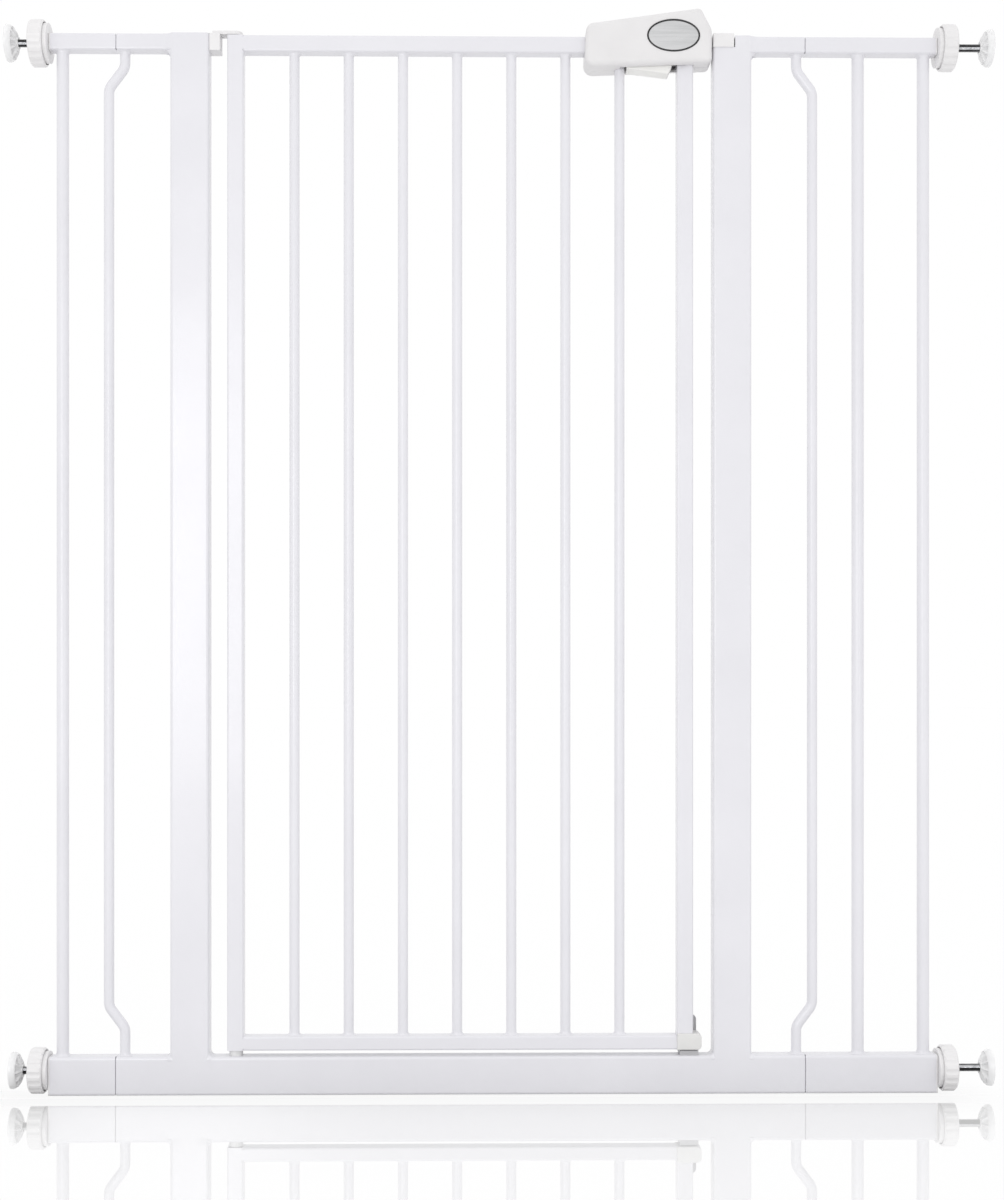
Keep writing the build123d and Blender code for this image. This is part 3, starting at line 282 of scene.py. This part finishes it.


# Powder coat with its fine orange peel, moulded plastics with a spark-eroded grain, and plated metal, on the
# threaded rods with a painted reflection
finish = {
    "powder_coated_steel": textured(
        "powder_coat", ((0.725, 0.72, 0.755), (0.755, 0.75, 0.785)),
        blotch=0.09, grain=1.4 * MM, relief=0.05 * MM, gloss=(0.18, 0.27),
    ),
    "white_plastic": textured(
        "white_plastic", ((0.755, 0.745, 0.75), (0.79, 0.78, 0.785)),
        blotch=0.03, grain=0.5 * MM, relief=0.02 * MM, gloss=(0.30, 0.42),
    ),
    # The trigger's cream, made lighter to make up for the shade it sits in under the latch housing: painted
    # light
    "cream_plastic": textured(
        "cream_plastic", ((0.825, 0.82, 0.80), (0.86, 0.855, 0.835)),
        blotch=0.02, grain=0.5 * MM, relief=0.03 * MM, gloss=(0.42, 0.55),
    ),
    # Top rods: plating with a painted reflection, a bright line between dark streaks
    "chrome_thread": rod_with_painted_reflection("chrome_thread", TOP_PAINTED_REFLECTION),
    "pad_rubber": textured(
        "pad_rubber", ((0.79, 0.79, 0.795), (0.84, 0.84, 0.845)),
        blotch=8 * MM, grain=0.6 * MM, relief=0.02 * MM, gloss=(0.16, 0.26),
        Subsurface_Weight=0.35, Subsurface_Scale=3 * MM, Subsurface_Radius=(1, 1, 1),
    ),
    "bush_plastic": textured(
        "bush_plastic", ((0.70, 0.70, 0.70), (0.75, 0.75, 0.75)),
        blotch=6 * MM, grain=0.5 * MM, relief=0.02 * MM, gloss=(0.40, 0.50),
    ),
    "bright_steel": textured(
        "bright_steel", ((0.48, 0.485, 0.50), (0.60, 0.605, 0.62)),
        blotch=5 * MM, grain=0.5 * MM, relief=0.01 * MM, gloss=(0.22, 0.36), Metallic=1.0,
    ),
    "badge_metal": textured(
        "badge_metal", ((0.58, 0.585, 0.59), (0.70, 0.70, 0.71)),
        blotch=3 * MM, grain=0.5 * MM, relief=0.01 * MM, gloss=(0.26, 0.42), Metallic=1.0,
        stretch=(0.06, 1, 1),
    ),
    "dark_steel": textured(
        "dark_steel", ((0.42, 0.42, 0.43), (0.49, 0.49, 0.50)),
        blotch=0.02, grain=0.8 * MM, relief=0.04 * MM, gloss=(0.38, 0.50),
    ),
}
# Bottom rods: plating with their own painted reflection, its bright line at another height
bottom_rod_reflection = rod_with_painted_reflection("low_chrome_painted_reflection", BOTTOM_PAINTED_REFLECTION)
cap_plastic = textured(
    "cap_plastic", ((0.695, 0.69, 0.68), (0.73, 0.725, 0.715)),
    blotch=0.02, grain=0.5 * MM, relief=0.03 * MM, gloss=(0.42, 0.55),
)
housing_plastic = textured(
    "housing_plastic", ((0.72, 0.71, 0.715), (0.755, 0.745, 0.75)),
    blotch=0.03, grain=0.5 * MM, relief=0.02 * MM, gloss=(0.30, 0.42),
)
own_finish = {
    "door_corner_cap": cap_plastic,
    "latch_housing_front": housing_plastic,
    "latch_housing_back": housing_plastic,
}
badge_enamel = textured(
    "badge_enamel", ((0.012, 0.012, 0.013), (0.022, 0.022, 0.024)),
    blotch=6 * MM, grain=0.6 * MM, relief=0.01 * MM, gloss=(0.20, 0.30),
)
for subpart in frame["record"]["subparts"]:
    mesh = frame["nodes"][subpart["node"]].data
    mesh.materials.clear()
    mesh.materials.append(own_finish.get(subpart["node"], finish[subpart["material_slot"]]))


def skin(bm, rings, wrap=False):
    """Joins rings of equal length. Both ends close, unless wrap joins the last ring to the first."""
    loops = [[bm.verts.new(point) for point in ring] for ring in rings]
    pairs = list(zip(loops, loops[1:]))
    if wrap:
        pairs.append((loops[-1], loops[0]))
    else:
        bm.faces.new(loops[0])
        bm.faces.new(loops[-1])
    for low, high in pairs:
        for here in range(len(low)):
            there = (here + 1) % len(low)
            bm.faces.new((low[here], low[there], high[there], high[here]))


def add_piece(name, bm, body, slot, material=None):
    """Makes an object of the mesh, shaded smooth except at its sharp edges, and has it ride on a body."""
    bmesh.ops.recalc_face_normals(bm, faces=bm.faces)
    for face in bm.faces:
        face.smooth = True
    mesh = bpy.data.meshes.new(name)
    bm.to_mesh(mesh)
    bm.free()
    mesh.set_sharp_from_angle(angle=radians(SMOOTH_ANGLE))
    mesh.materials.append(material or finish[slot])
    piece = bpy.data.objects.new(name, mesh)
    bpy.context.collection.objects.link(piece)
    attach(piece, body)
    return piece


# Weld metal
def bar_weld(bm, x, z, facing, radius, side_leg=WELD_SIDE_LEG):
    """The bead round a bar's end on a tube: facing is 1 for a foot and -1 for a head."""
    rings = []
    for step in range(WELD_STEPS):
        turn = tau * step / WELD_STEPS
        wave = sum(part * sin(count * turn + by_x * x + by_z * z) for count, part, by_x, by_z in WELD_WAVES)
        swell = 1 + WELD_RIPPLE * wave
        leg = swell * (side_leg * cos(turn) ** 2 + WELD_FRONT_LEG * sin(turn) ** 2)
        height = swell * WELD_HEIGHT
        profile = [(radius - WELD_SINK, -WELD_SINK), (radius + leg, -WELD_SINK)]
        for part in range(FILLET_STEPS + 1):
            bend = pi / 2 * part / FILLET_STEPS
            profile.append((radius + leg * (1 - sin(bend)), height * (1 - cos(bend))))
        profile.append((radius - WELD_SINK, height))
        rings.append([(x + r * cos(turn), r * sin(turn), z + facing * h) for r, h in profile])
    skin(bm, rings, wrap=True)


def weld_run(bm, start, end, across, up, profile, sizes=RUN_SIZES):
    """A straight run of weld, whose profile lies along across and up and swells and shrinks on the way."""
    start, end, across, up = (Vector(value) for value in (start, end, across, up))
    rings = []
    for number, size in enumerate(sizes):
        base = start.lerp(end, number / (len(sizes) - 1))
        rings.append([base + across * (a * size) + up * (b * size) for a, b in profile])
    skin(bm, rings)


def hollow_fillet(leg):
    """The section of a fillet weld in a square corner, a little sunk in both faces."""
    section = [(-SEAM_SINK, -SEAM_SINK), (leg, -SEAM_SINK)]
    for part in range(FILLET_STEPS + 1):
        bend = pi / 2 * part / FILLET_STEPS
        section.append((leg * (1 - sin(bend)), leg * (1 - cos(bend))))
    section.append((-SEAM_SINK, leg))
    return section


def flush_fill(corner):
    """The section that fills the hollow between a tube's rounded corner and the tube on it, a hair proud."""
    return [
        (SEAM_PROUD, 2 * corner), (SEAM_PROUD, -2 * corner), (-SEAM_SINK, -2 * corner),
        (-SEAM_SINK - corner, -SEAM_SINK), (-SEAM_SINK - corner, SEAM_SINK), (-SEAM_SINK, 2 * corner),
    ]


def rounded_ring(low, high, corner, z, proud=0.0):
    """The outline of an upright tube at one height, from its box and corner radius."""
    ring = []
    for quarter, (far_x, far_y) in enumerate(((1, 1), (0, 1), (0, 0), (1, 0))):
        middle_x = high[0] - corner if far_x else low[0] + corner
        middle_y = high[1] - corner if far_y else low[1] + corner
        radius = corner + proud
        for part in range(CORNER_STEPS + 1):
            turn = pi / 2 * (quarter + part / CORNER_STEPS)
            ring.append((middle_x + radius * cos(turn), middle_y + radius * sin(turn), z))
    return ring


def foot_fillet(bm, face_x, outward, top_z, half_depth):
    """A fillet at the side of a post's foot, which dwindles round the post's rounded corners."""
    flat = half_depth - HEAVY_CORNER
    places = [(angle, -1) for angle in reversed(FOOT_ANGLES)] + [(angle, 1) for angle in FOOT_ANGLES]
    rings = []
    for angle, end in places:
        out, along = outward * cos(radians(angle)), end * sin(radians(angle))
        leg = FOOT_LEG * cos(radians(angle)) ** 2
        base_x = face_x - HEAVY_CORNER * (outward - out)
        base_y = end * flat + HEAVY_CORNER * along
        ring = []
        for away, height in hollow_fillet(leg):
            y = base_y + away * along
            past = min(HEAVY_CORNER, max(0, abs(y) - flat))
            fall = HEAVY_CORNER - sqrt(HEAVY_CORNER ** 2 - past ** 2)
            ring.append((base_x + away * out, y, top_z - fall + height))
        rings.append(ring)
    skin(bm, rings)


def stub_ramp(bm, post_face, outward, face, post_depth, stub_low, stub_high):
    """Weld that eases the post's front or back into the shallower stub beside it, and fades out below."""
    stub_depth = stub_high[1]
    ramp = [(-HEAVY_CORNER, post_depth)]
    ramp += [(share * RAMP_LENGTH, post_depth - drop) for share, drop in RAMP_HEAD]
    ramp += [(share * RAMP_LENGTH, stub_depth + rise) for share, rise in RAMP_TAIL]
    top, bottom = stub_high[2], stub_low[2]
    rounding = LIGHT_CORNER
    # Height, share of the ramp that is left, and how far the stub's rounded corner has fallen back
    stations = [(bottom - below, size, rounding) for below, size in RAMP_FADE]
    turns = [pi / 2 * part / RAMP_STEPS for part in range(RAMP_STEPS + 1)]
    for turn in turns:
        stations.append((bottom + rounding * (1 - cos(turn)), 1, rounding * (1 - sin(turn))))
    for turn in turns:
        z = top - rounding * (1 - sin(turn)) + SEAM_PROUD * sin(turn)
        stations.append((z, 1, rounding * (1 - cos(turn))))
    root = face * (stub_depth - rounding - RAMP_ROOT)
    rings = []
    for z, size, drop in stations:
        ring = []
        for number, (away, depth) in enumerate(ramp):
            turn = pi / 2 * number / (len(ramp) - 1)
            round_away = HEAVY_CORNER * (sin(turn) - 1)
            round_depth = post_depth - HEAVY_CORNER * (1 - cos(turn))
            share = min(1, max(0, (away + HEAVY_CORNER) / (2 * HEAVY_CORNER)))
            lie = round_depth + size * (depth - drop * share - round_depth) + SEAM_PROUD
            ring.append((post_face + outward * (round_away + size * (away - round_away)), face * lie, z))
        ring += [(ring[-1][0], root, z), (post_face - outward * HEAVY_CORNER, root, z)]
        rings.append(ring)
    skin(bm, rings)


def weld_bar(bm, node, end_x=None, head_leg=WELD_SIDE_LEG):
    """Beads at the head and foot of an upright bar."""
    low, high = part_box(node)
    radius = (high[1] - low[1]) / 2
    x = (low[0] + high[0]) / 2 if end_x is None else end_x
    bar_weld(bm, x, low[2], 1, radius)
    bar_weld(bm, x, high[2], -1, radius, head_leg)


# The last bar's head is welded slimly, clear of the trigger's finger
door_welds = bmesh.new()
for number in range(1, 7):
    weld_bar(door_welds, f"door_bar_{number}")
weld_bar(door_welds, "door_bar_7", head_leg=SLIM_LEG)
stile_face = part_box("door_hinge_stile")[1][0]
for rail, inner, inward in (("door_top_rail", 0, -1), ("door_bottom_rail", 1, 1)):
    low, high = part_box(rail)
    edge_z = (low, high)[inner][2]
    reach = high[1] - LIGHT_CORNER
    start, end = (stile_face, -reach, edge_z), (stile_face, reach, edge_z)
    weld_run(door_welds, start, end, (1, 0, 0), (0, 0, inward), hollow_fillet(SEAM_LEG))
    for side in (-1, 1):
        start = (stile_face, side * high[1], low[2] + LIGHT_CORNER)
        end = (stile_face, side * high[1], high[2] - LIGHT_CORNER)
        weld_run(door_welds, start, end, (0, side, 0), (1, 0, 0), flush_fill(LIGHT_CORNER), sizes=(1, 1))
add_piece("door_welds", door_welds, "door", "powder_coated_steel")

frame_welds = bmesh.new()
for node in ("left_extension_bar", "right_extension_inner_bar", "right_extension_outer_bar"):
    weld_bar(frame_welds, node)
for side, name in ((-1, "left"), (1, "right")):
    low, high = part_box(f"frame_{name}_bent_bar")
    bent_radius = (high[1] - low[1]) / 2
    bent_end = low[0] + bent_radius if side > 0 else high[0] - bent_radius
    weld_bar(frame_welds, f"frame_{name}_bent_bar", bent_end)
    low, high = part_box(f"frame_{name}_post")
    for face_x, outward in ((low[0], -1), (high[0], 1)):
        foot_fillet(frame_welds, face_x, outward, low[2], high[1])
    lap = (low[2] - FOOT_LAP, low[2] + FOOT_LAP / 2)
    skin(frame_welds, [rounded_ring(low, high, HEAVY_CORNER, z, SEAM_PROUD) for z in lap])
    stub_low, stub_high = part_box(f"frame_{name}_top_stub")
    post_face = stub_low[0] if side > 0 else stub_high[0]
    reach = stub_high[1] - LIGHT_CORNER
    start, end = (post_face, -reach, stub_low[2]), (post_face, reach, stub_low[2])
    weld_run(frame_welds, start, end, (side, 0, 0), (0, 0, -1), hollow_fillet(STUB_LEG))
    for face in (-1, 1):
        stub_ramp(frame_welds, post_face, side, face, high[1], stub_low, stub_high)
add_piece("frame_welds", frame_welds, "frame", "powder_coated_steel")


# Threaded rods and ribbed pads of the four screw fittings
def threaded_rod(corner):
    low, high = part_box(f"{corner}_spindle_rod")
    radius = (high[1] - low[1]) / 2
    middle_y = (low[1] + high[1]) / 2
    middle_z = (low[2] + high[2]) / 2
    length = high[0] - low[0]
    rows = round(length / THREAD_PITCH * THREAD_ROWS_PER_TURN)
    rings = []
    for row in range(rows + 1):
        along = length * row / rows
        point = max(0, ROD_POINT - min(along, length - along))
        ring = []
        for step in range(THREAD_SIDES):
            turn = tau * step / THREAD_SIDES
            phase = (along / THREAD_PITCH - step / THREAD_SIDES) % 1
            r = radius - THREAD_DEPTH * abs(2 * phase - 1)
            r = min(r, radius - point)
            ring.append((low[0] + along, middle_y + r * cos(turn), middle_z + r * sin(turn)))
        rings.append(ring)
    bm = bmesh.new()
    skin(bm, rings)
    return bm


def oval_depth(r, length, radius):
    """How far the dome's surface lies from its base at distance r from the axis."""
    return length * sqrt(max(0, 1 - (r / radius) ** 2))


def ribbed_pad(corner, side):
    low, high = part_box(f"{corner}_wall_pad")
    front_x = low[0] if side > 0 else high[0]
    middle_z = (low[2] + high[2]) / 2
    base = PAD_LENGTH - PAD_RIM
    hub_foot = base - oval_depth(PAD_HUB_RADIUS, base - PAD_RIB_HEIGHT, PAD_RADIUS)
    # Distance from the hub's front, distance from the axis, and how far the ribs rise there
    profile = [
        (PAD_SOCKET_DEPTH, PAD_SOCKET_RADIUS, 0), (PAD_ROUND, PAD_SOCKET_RADIUS, 0),
        (0, PAD_SOCKET_RADIUS + PAD_ROUND, 0), (0, PAD_HUB_RADIUS - PAD_ROUND, 0),
        (PAD_ROUND, PAD_HUB_RADIUS, 0), (hub_foot - PAD_ROUND, PAD_HUB_RADIUS, 0),
    ]
    for part in range(1, PAD_ROWS + 1):
        reach = part / PAD_ROWS
        r = PAD_HUB_RADIUS + (PAD_RADIUS - PAD_HUB_RADIUS) * sin(pi / 2 * reach)
        crest = base - oval_depth(r, base, PAD_RADIUS)
        sunk = 0
        if reach < PAD_RIBBED:
            sunk = oval_depth(r, PAD_RIB_HEIGHT, PAD_RADIUS)
            sunk += PAD_HOLLOW * sin(pi * reach / PAD_RIBBED) ** PAD_HOLLOW_EASE
        profile.append((crest + sunk, r, sunk))
    profile += [(PAD_LENGTH - PAD_ROUND, PAD_RADIUS, 0), (PAD_LENGTH, PAD_RADIUS - PAD_ROUND, 0)]
    floor_depth = PAD_LENGTH - PAD_GROOVE_DEPTH
    for outer, inner in PAD_GROOVES:
        profile += [
            (PAD_LENGTH, PAD_RADIUS * outer, 0), (floor_depth, PAD_RADIUS * (outer - PAD_GROOVE_SLOPE), 0),
            (floor_depth, PAD_RADIUS * (inner + PAD_GROOVE_SLOPE), 0), (PAD_LENGTH, PAD_RADIUS * inner, 0),
        ]
    profile.append((PAD_LENGTH, PAD_RADIUS * PAD_MIDDLE, 0))
    rings = []
    for depth, r, rise in profile:
        ring = []
        for step in range(PAD_RIBS * PAD_RIB_STEPS):
            turn = tau * step / (PAD_RIBS * PAD_RIB_STEPS)
            off = abs((step / PAD_RIB_STEPS + 0.5) % 1 - 0.5) * tau / PAD_RIBS * r
            rib = max(0, 1 - (2 * off / PAD_RIB_WIDTH) ** 2)
            ring.append((front_x + side * (depth - rise * rib), r * cos(turn), middle_z + r * sin(turn)))
        rings.append(ring)
    bm = bmesh.new()
    skin(bm, rings)
    return bm


for corner in CORNERS:
    side = -1 if corner.startswith("left") else 1
    body = f"{corner}_spindle"
    # The bottom rods get their own painted reflection
    rod_reflection_finish = bottom_rod_reflection if corner.endswith("bottom") else None
    rod = add_piece(f"{corner}_threaded_rod", threaded_rod(corner), body, "chrome_thread", rod_reflection_finish)
    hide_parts(f"{corner}_spindle_rod")
    pad = add_piece(f"{corner}_ribbed_pad", ribbed_pad(corner, side), body, "pad_rubber")
    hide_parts(f"{corner}_wall_pad")


# Badge on the latch: a bare, faintly domed brushed plate in a raised dark rim
def oval_rings(profile):
    """Rings round the badge's axis, for points at a distance in from the edge and at a place in depth."""
    low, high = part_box("badge_plate")
    middle_x, middle_z = (low[0] + high[0]) / 2, (low[2] + high[2]) / 2
    half_x, half_z = (high[0] - low[0]) / 2, (high[2] - low[2]) / 2
    turns = [tau * step / BADGE_STEPS for step in range(BADGE_STEPS)]
    rings = []
    for inset, y in profile:
        wide, tall = half_x - inset, half_z - inset
        rings.append([(middle_x + wide * cos(turn), y, middle_z + tall * sin(turn)) for turn in turns])
    return rings


badge_front, badge_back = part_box("badge_plate")[0][1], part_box("badge_plate")[1][1]
rim_profile = [(inset, badge_front + behind) for inset, behind in BADGE_RIM_PROFILE]
rim_mesh = bmesh.new()
skin(rim_mesh, oval_rings([(0, badge_back), *rim_profile, (BADGE_RIM, badge_back)]), wrap=True)
add_piece("badge_rim", rim_mesh, "door", "badge_metal", badge_enamel)
face_profile = [(BADGE_RIM + inset, badge_front + behind) for inset, behind in BADGE_FACE_PROFILE]
face_mesh = bmesh.new()
skin(face_mesh, oval_rings([(BADGE_RIM - BADGE_FACE_LAP, badge_back), *face_profile]))
badge_face = add_piece("badge_face", face_mesh, "door", "badge_metal")
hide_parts("badge_plate")


# Cross-head screws in the back shell of the latch
def disc_ring(x, y, z, radius):
    turns = [tau * step / SCREW_SIDES for step in range(SCREW_SIDES)]
    return [(x + radius * cos(turn), y, z + radius * sin(turn)) for turn in turns]


def cross_ring(x, y, z, arm, half_width):
    corner = ((arm, half_width), (half_width, half_width), (half_width, arm))
    points = []
    for quarter in range(4):
        across, up = cos(pi / 2 * quarter), sin(pi / 2 * quarter)
        points += [(x + a * across - b * up, y, z + a * up + b * across) for a, b in corner]
    return points


def cross_screw(bm, x, z, tip_y, head_y, head_radius):
    """A screw from its tip, up the shank, round the head and down into the cross recess."""
    outline = (
        (tip_y, SCREW_RADIUS * SCREW_TIP_SHARE), (tip_y + SCREW_POINT, SCREW_RADIUS),
        (head_y - SCREW_HEAD, SCREW_RADIUS), (head_y - SCREW_HEAD, head_radius),
        (head_y - SCREW_EDGE, head_radius), (head_y, head_radius - SCREW_EDGE),
    )
    loops = [[bm.verts.new(point) for point in disc_ring(x, y, z, radius)] for y, radius in outline]
    bm.faces.new(loops[0])
    for low, high in zip(loops, loops[1:]):
        for here in range(SCREW_SIDES):
            there = (here + 1) % SCREW_SIDES
            bm.faces.new((low[here], low[there], high[there], high[here]))
    mouth = [bm.verts.new(point) for point in cross_ring(x, head_y, z, SCREW_ARM, SCREW_SLOT)]
    arm, slot = SCREW_ARM * SCREW_ARM_TAPER, SCREW_SLOT * SCREW_SLOT_TAPER
    bottom = [bm.verts.new(point) for point in cross_ring(x, head_y - SCREW_RECESS, z, arm, slot)]
    for here in range(len(mouth)):
        there = (here + 1) % len(mouth)
        bm.faces.new((mouth[here], mouth[there], bottom[there], bottom[here]))
    bm.faces.new(bottom)
    rim = loops[-1]
    edges = [bm.edges.get((rim[here], rim[here - 1])) for here in range(SCREW_SIDES)]
    edges += [bm.edges.get((mouth[here], mouth[here - 1])) for here in range(len(mouth))]
    bmesh.ops.triangle_fill(bm, use_beauty=True, edges=edges)


screw_low, screw_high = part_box("latch_housing_screws")
screw_radius = (screw_high[2] - screw_low[2]) / 2
screw_mesh = bmesh.new()
for screw_x in (screw_low[0] + screw_radius, screw_high[0] - screw_radius):
    cross_screw(screw_mesh, screw_x, screw_low[2] + screw_radius, screw_low[1], screw_high[1], screw_radius)
screws = add_piece("housing_cross_screws", screw_mesh, "door", "bright_steel")
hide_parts("latch_housing_screws")


# Coil spring between its stop and the bolt's back, which on the real latch shortens as the trigger draws the
# bolt; here it gets a mesh of its own
def coil_spring(low, high):
    wire = SPRING_WIRE / 2
    radius = (high[2] - low[2]) / 2 - wire
    middle_y, middle_z = (low[1] + high[1]) / 2, (low[2] + high[2]) / 2
    rows = SPRING_TURNS * SPRING_ROWS
    rings = []
    for row in range(rows + 1):
        turn = tau * row / SPRING_ROWS
        along = low[0] + wire + (high[0] - low[0] - 2 * wire) * row / rows
        ring = []
        for step in range(SPRING_SIDES):
            bend = tau * step / SPRING_SIDES
            r = radius + wire * cos(bend)
            ring.append((along + wire * sin(bend), middle_y + r * cos(turn), middle_z + r * sin(turn)))
        rings.append(ring)
    bm = bmesh.new()
    skin(bm, rings)
    return bm


spring_low, spring_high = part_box("bolt_spring")
spring = add_piece("coil_spring", coil_spring(spring_low, spring_high), "door", "bright_steel")
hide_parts("bolt_spring")
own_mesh(spring)

# Studio floor
floor_mesh = bmesh.new()
bmesh.ops.create_grid(floor_mesh, x_segments=2, y_segments=2, size=FLOOR_HALF_SIZE)
mesh = bpy.data.meshes.new("floor")
floor_mesh.to_mesh(mesh)
floor_mesh.free()
floor = bpy.data.objects.new("floor", mesh)
bpy.context.collection.objects.link(floor)
floor.location.z = -FLOOR_DROP


def fading(tree, distance, start, end):
    """A value that falls smoothly from 1 to 0 between two distances."""
    fall = tree.nodes.new("ShaderNodeMapRange")
    fall.interpolation_type = "SMOOTHSTEP"
    fall.inputs["From Min"].default_value = start
    fall.inputs["From Max"].default_value = end
    fall.inputs["To Min"].default_value = 1
    fall.inputs["To Max"].default_value = 0
    tree.links.new(distance, fall.inputs["Value"])
    return fall.outputs["Result"]


def combined(tree, operation, first, second):
    """The result of a sum on two values, each a socket or a number."""
    node = tree.nodes.new("ShaderNodeMath")
    node.operation = operation
    for value, socket in zip((first, second), node.inputs):
        if isinstance(value, (int, float)):
            socket.default_value = value
        else:
            tree.links.new(value, socket)
    return node.outputs["Value"]


def seen_ray(tree):
    """A value that is 1 for a ray by which the surface is seen, straight, in a gloss or through glass."""
    ray = tree.nodes.new("ShaderNodeLightPath")
    straight = combined(tree, "MAXIMUM", ray.outputs["Is Camera Ray"], ray.outputs["Is Glossy Ray"])
    return combined(tree, "MAXIMUM", straight, ray.outputs["Is Transmission Ray"])


floor_coat = textured(
    "studio_floor", ((0.93, 0.93, 0.93), (0.95, 0.95, 0.95)),
    blotch=1.5, grain=0.1, relief=0.0, gloss=(0.5, 0.6), Specular_IOR_Level=0.0,
)
mesh.materials.append(floor_coat)
tree = floor_coat.node_tree
spot = tree.nodes.new("ShaderNodeTexCoord")
axes = tree.nodes.new("ShaderNodeSeparateXYZ")
tree.links.new(spot.outputs["Object"], axes.inputs["Vector"])
from_middle = combined(tree, "ABSOLUTE", axes.outputs["X"], 0)
from_gate = combined(tree, "ABSOLUTE", axes.outputs["Y"], 0)

# Painted shadow: the floor's colour is greyer close to the gate, which takes light off the rail's lower half
near_gate_shadow = fading(tree, from_gate, *CONTACT_SHADOW_REACH_Y)
painted_contact_shadow = combined(tree, "MULTIPLY", fading(tree, from_middle, *CONTACT_REACH_X), near_gate_shadow)
# The painted shadow darkens the floor's colour
share, tint = darkened(tree, tree.nodes["Principled BSDF"].inputs["Base Color"])
tree.links.new(painted_contact_shadow, share)
tint.default_value = (CONTACT_SHADOW_TONE, CONTACT_SHADOW_TONE, CONTACT_SHADOW_TONE, 1)

# To the eye and in glosses the floor glows white, and it mirrors the gate more at a low angle
glow = tree.nodes.new("ShaderNodeEmission")
glow.inputs["Strength"].default_value = 1.0
lit = tree.nodes.new("ShaderNodeMixShader")
tree.links.new(combined(tree, "MULTIPLY", seen_ray(tree), FLOOR_GLOW), lit.inputs["Fac"])
tree.links.new(tree.nodes["Principled BSDF"].outputs["BSDF"], lit.inputs[1])
tree.links.new(glow.outputs["Emission"], lit.inputs[2])
mirror = tree.nodes.new("ShaderNodeBsdfGlossy")
mirror.inputs["Color"].default_value = (1, 1, 1, 1)
mirror.inputs["Roughness"].default_value = 0.0
slant = tree.nodes.new("ShaderNodeLayerWeight")
steep = combined(tree, "POWER", slant.outputs["Facing"], FLOOR_MIRROR_POWER)
# Dull where the mirror would show the rail's dark underside
band = combined(tree, "SUBTRACT", fading(tree, from_gate, *DULL_END), fading(tree, from_gate, *DULL_START))
dull = combined(tree, "MULTIPLY", band, fading(tree, from_middle, *CONTACT_REACH_X))
shine = combined(tree, "MULTIPLY", steep, combined(tree, "SUBTRACT", 1, dull))
polished = tree.nodes.new("ShaderNodeMixShader")
tree.links.new(shine, polished.inputs["Fac"])
tree.links.new(lit.outputs["Shader"], polished.inputs[1])
tree.links.new(mirror.outputs["BSDF"], polished.inputs[2])
tree.links.new(polished.outputs["Shader"], tree.nodes["Material Output"].inputs["Surface"])

# Surround: it lights the gate less from behind, and looks white to the eye and in glosses
world = bpy.data.worlds.new("studio")
bpy.context.scene.world = world
world.use_nodes = True
sky = world.node_tree
ambient = sky.nodes["Background"]
ambient.inputs["Color"].default_value = (1, 1, 1, 1)
towards = sky.nodes.new("ShaderNodeTexCoord")
axes = sky.nodes.new("ShaderNodeSeparateXYZ")
fade = sky.nodes.new("ShaderNodeMapRange")
fade.inputs["From Min"].default_value = -1
fade.inputs["From Max"].default_value = 1
fade.inputs["To Min"].default_value = SURROUND_FRONT
fade.inputs["To Max"].default_value = SURROUND_BACK
sky.links.new(towards.outputs["Generated"], axes.inputs["Vector"])
sky.links.new(axes.outputs["Y"], fade.inputs["Value"])
sky.links.new(fade.outputs["Result"], ambient.inputs["Strength"])
seen = sky.nodes.new("ShaderNodeBackground")
seen.inputs["Color"].default_value = (1, 1, 1, 1)
seen.inputs["Strength"].default_value = 1.0
choice = sky.nodes.new("ShaderNodeMixShader")
sky.links.new(seen_ray(sky), choice.inputs["Fac"])
sky.links.new(ambient.outputs["Background"], choice.inputs[1])
sky.links.new(seen.outputs["Background"], choice.inputs[2])
sky.links.new(choice.outputs["Shader"], sky.nodes["World Output"].inputs["Surface"])


def softbox(name, place, aim, size, power):
    lamp = bpy.data.lights.new(name, "AREA")
    lamp.shape = "RECTANGLE"
    lamp.size, lamp.size_y = size
    lamp.energy = power
    holder = bpy.data.objects.new(name, lamp)
    holder.location = place
    holder.rotation_euler = (Vector(aim) - Vector(place)).to_track_quat("-Z", "Y").to_euler()
    bpy.context.collection.objects.link(holder)
    return holder


# The softboxes light the gate alone, so that the floor doesn't mirror them
left_out = bpy.data.collections.new("not_lit_by_softboxes")
left_out.objects.link(floor)
left_out.collection_objects[0].light_linking.link_state = "EXCLUDE"
softbox("key", KEY_PLACE, KEY_AIM, KEY_SIZE, KEY_POWER).light_linking.receiver_collection = left_out
softbox("fill", FILL_PLACE, FILL_AIM, FILL_SIZE, FILL_POWER).light_linking.receiver_collection = left_out
overhead = bpy.data.lights.new("overhead", "SUN")
overhead.energy = OVERHEAD_POWER
overhead.angle = radians(OVERHEAD_SPREAD)
overhead_holder = bpy.data.objects.new("overhead", overhead)
overhead_holder.visible_glossy = False
bpy.context.collection.objects.link(overhead_holder)

lens = bpy.data.cameras.new("camera")
lens.lens = CAMERA_LENS
lens.shift_y = CAMERA_SHIFT_Y
camera = bpy.data.objects.new("camera", lens)
camera.location = CAMERA_PLACE
camera.rotation_euler = (radians(90), 0, radians(CAMERA_YAW))
bpy.context.collection.objects.link(camera)
bpy.context.scene.camera = camera
bpy.context.scene.view_settings.view_transform = "Standard"
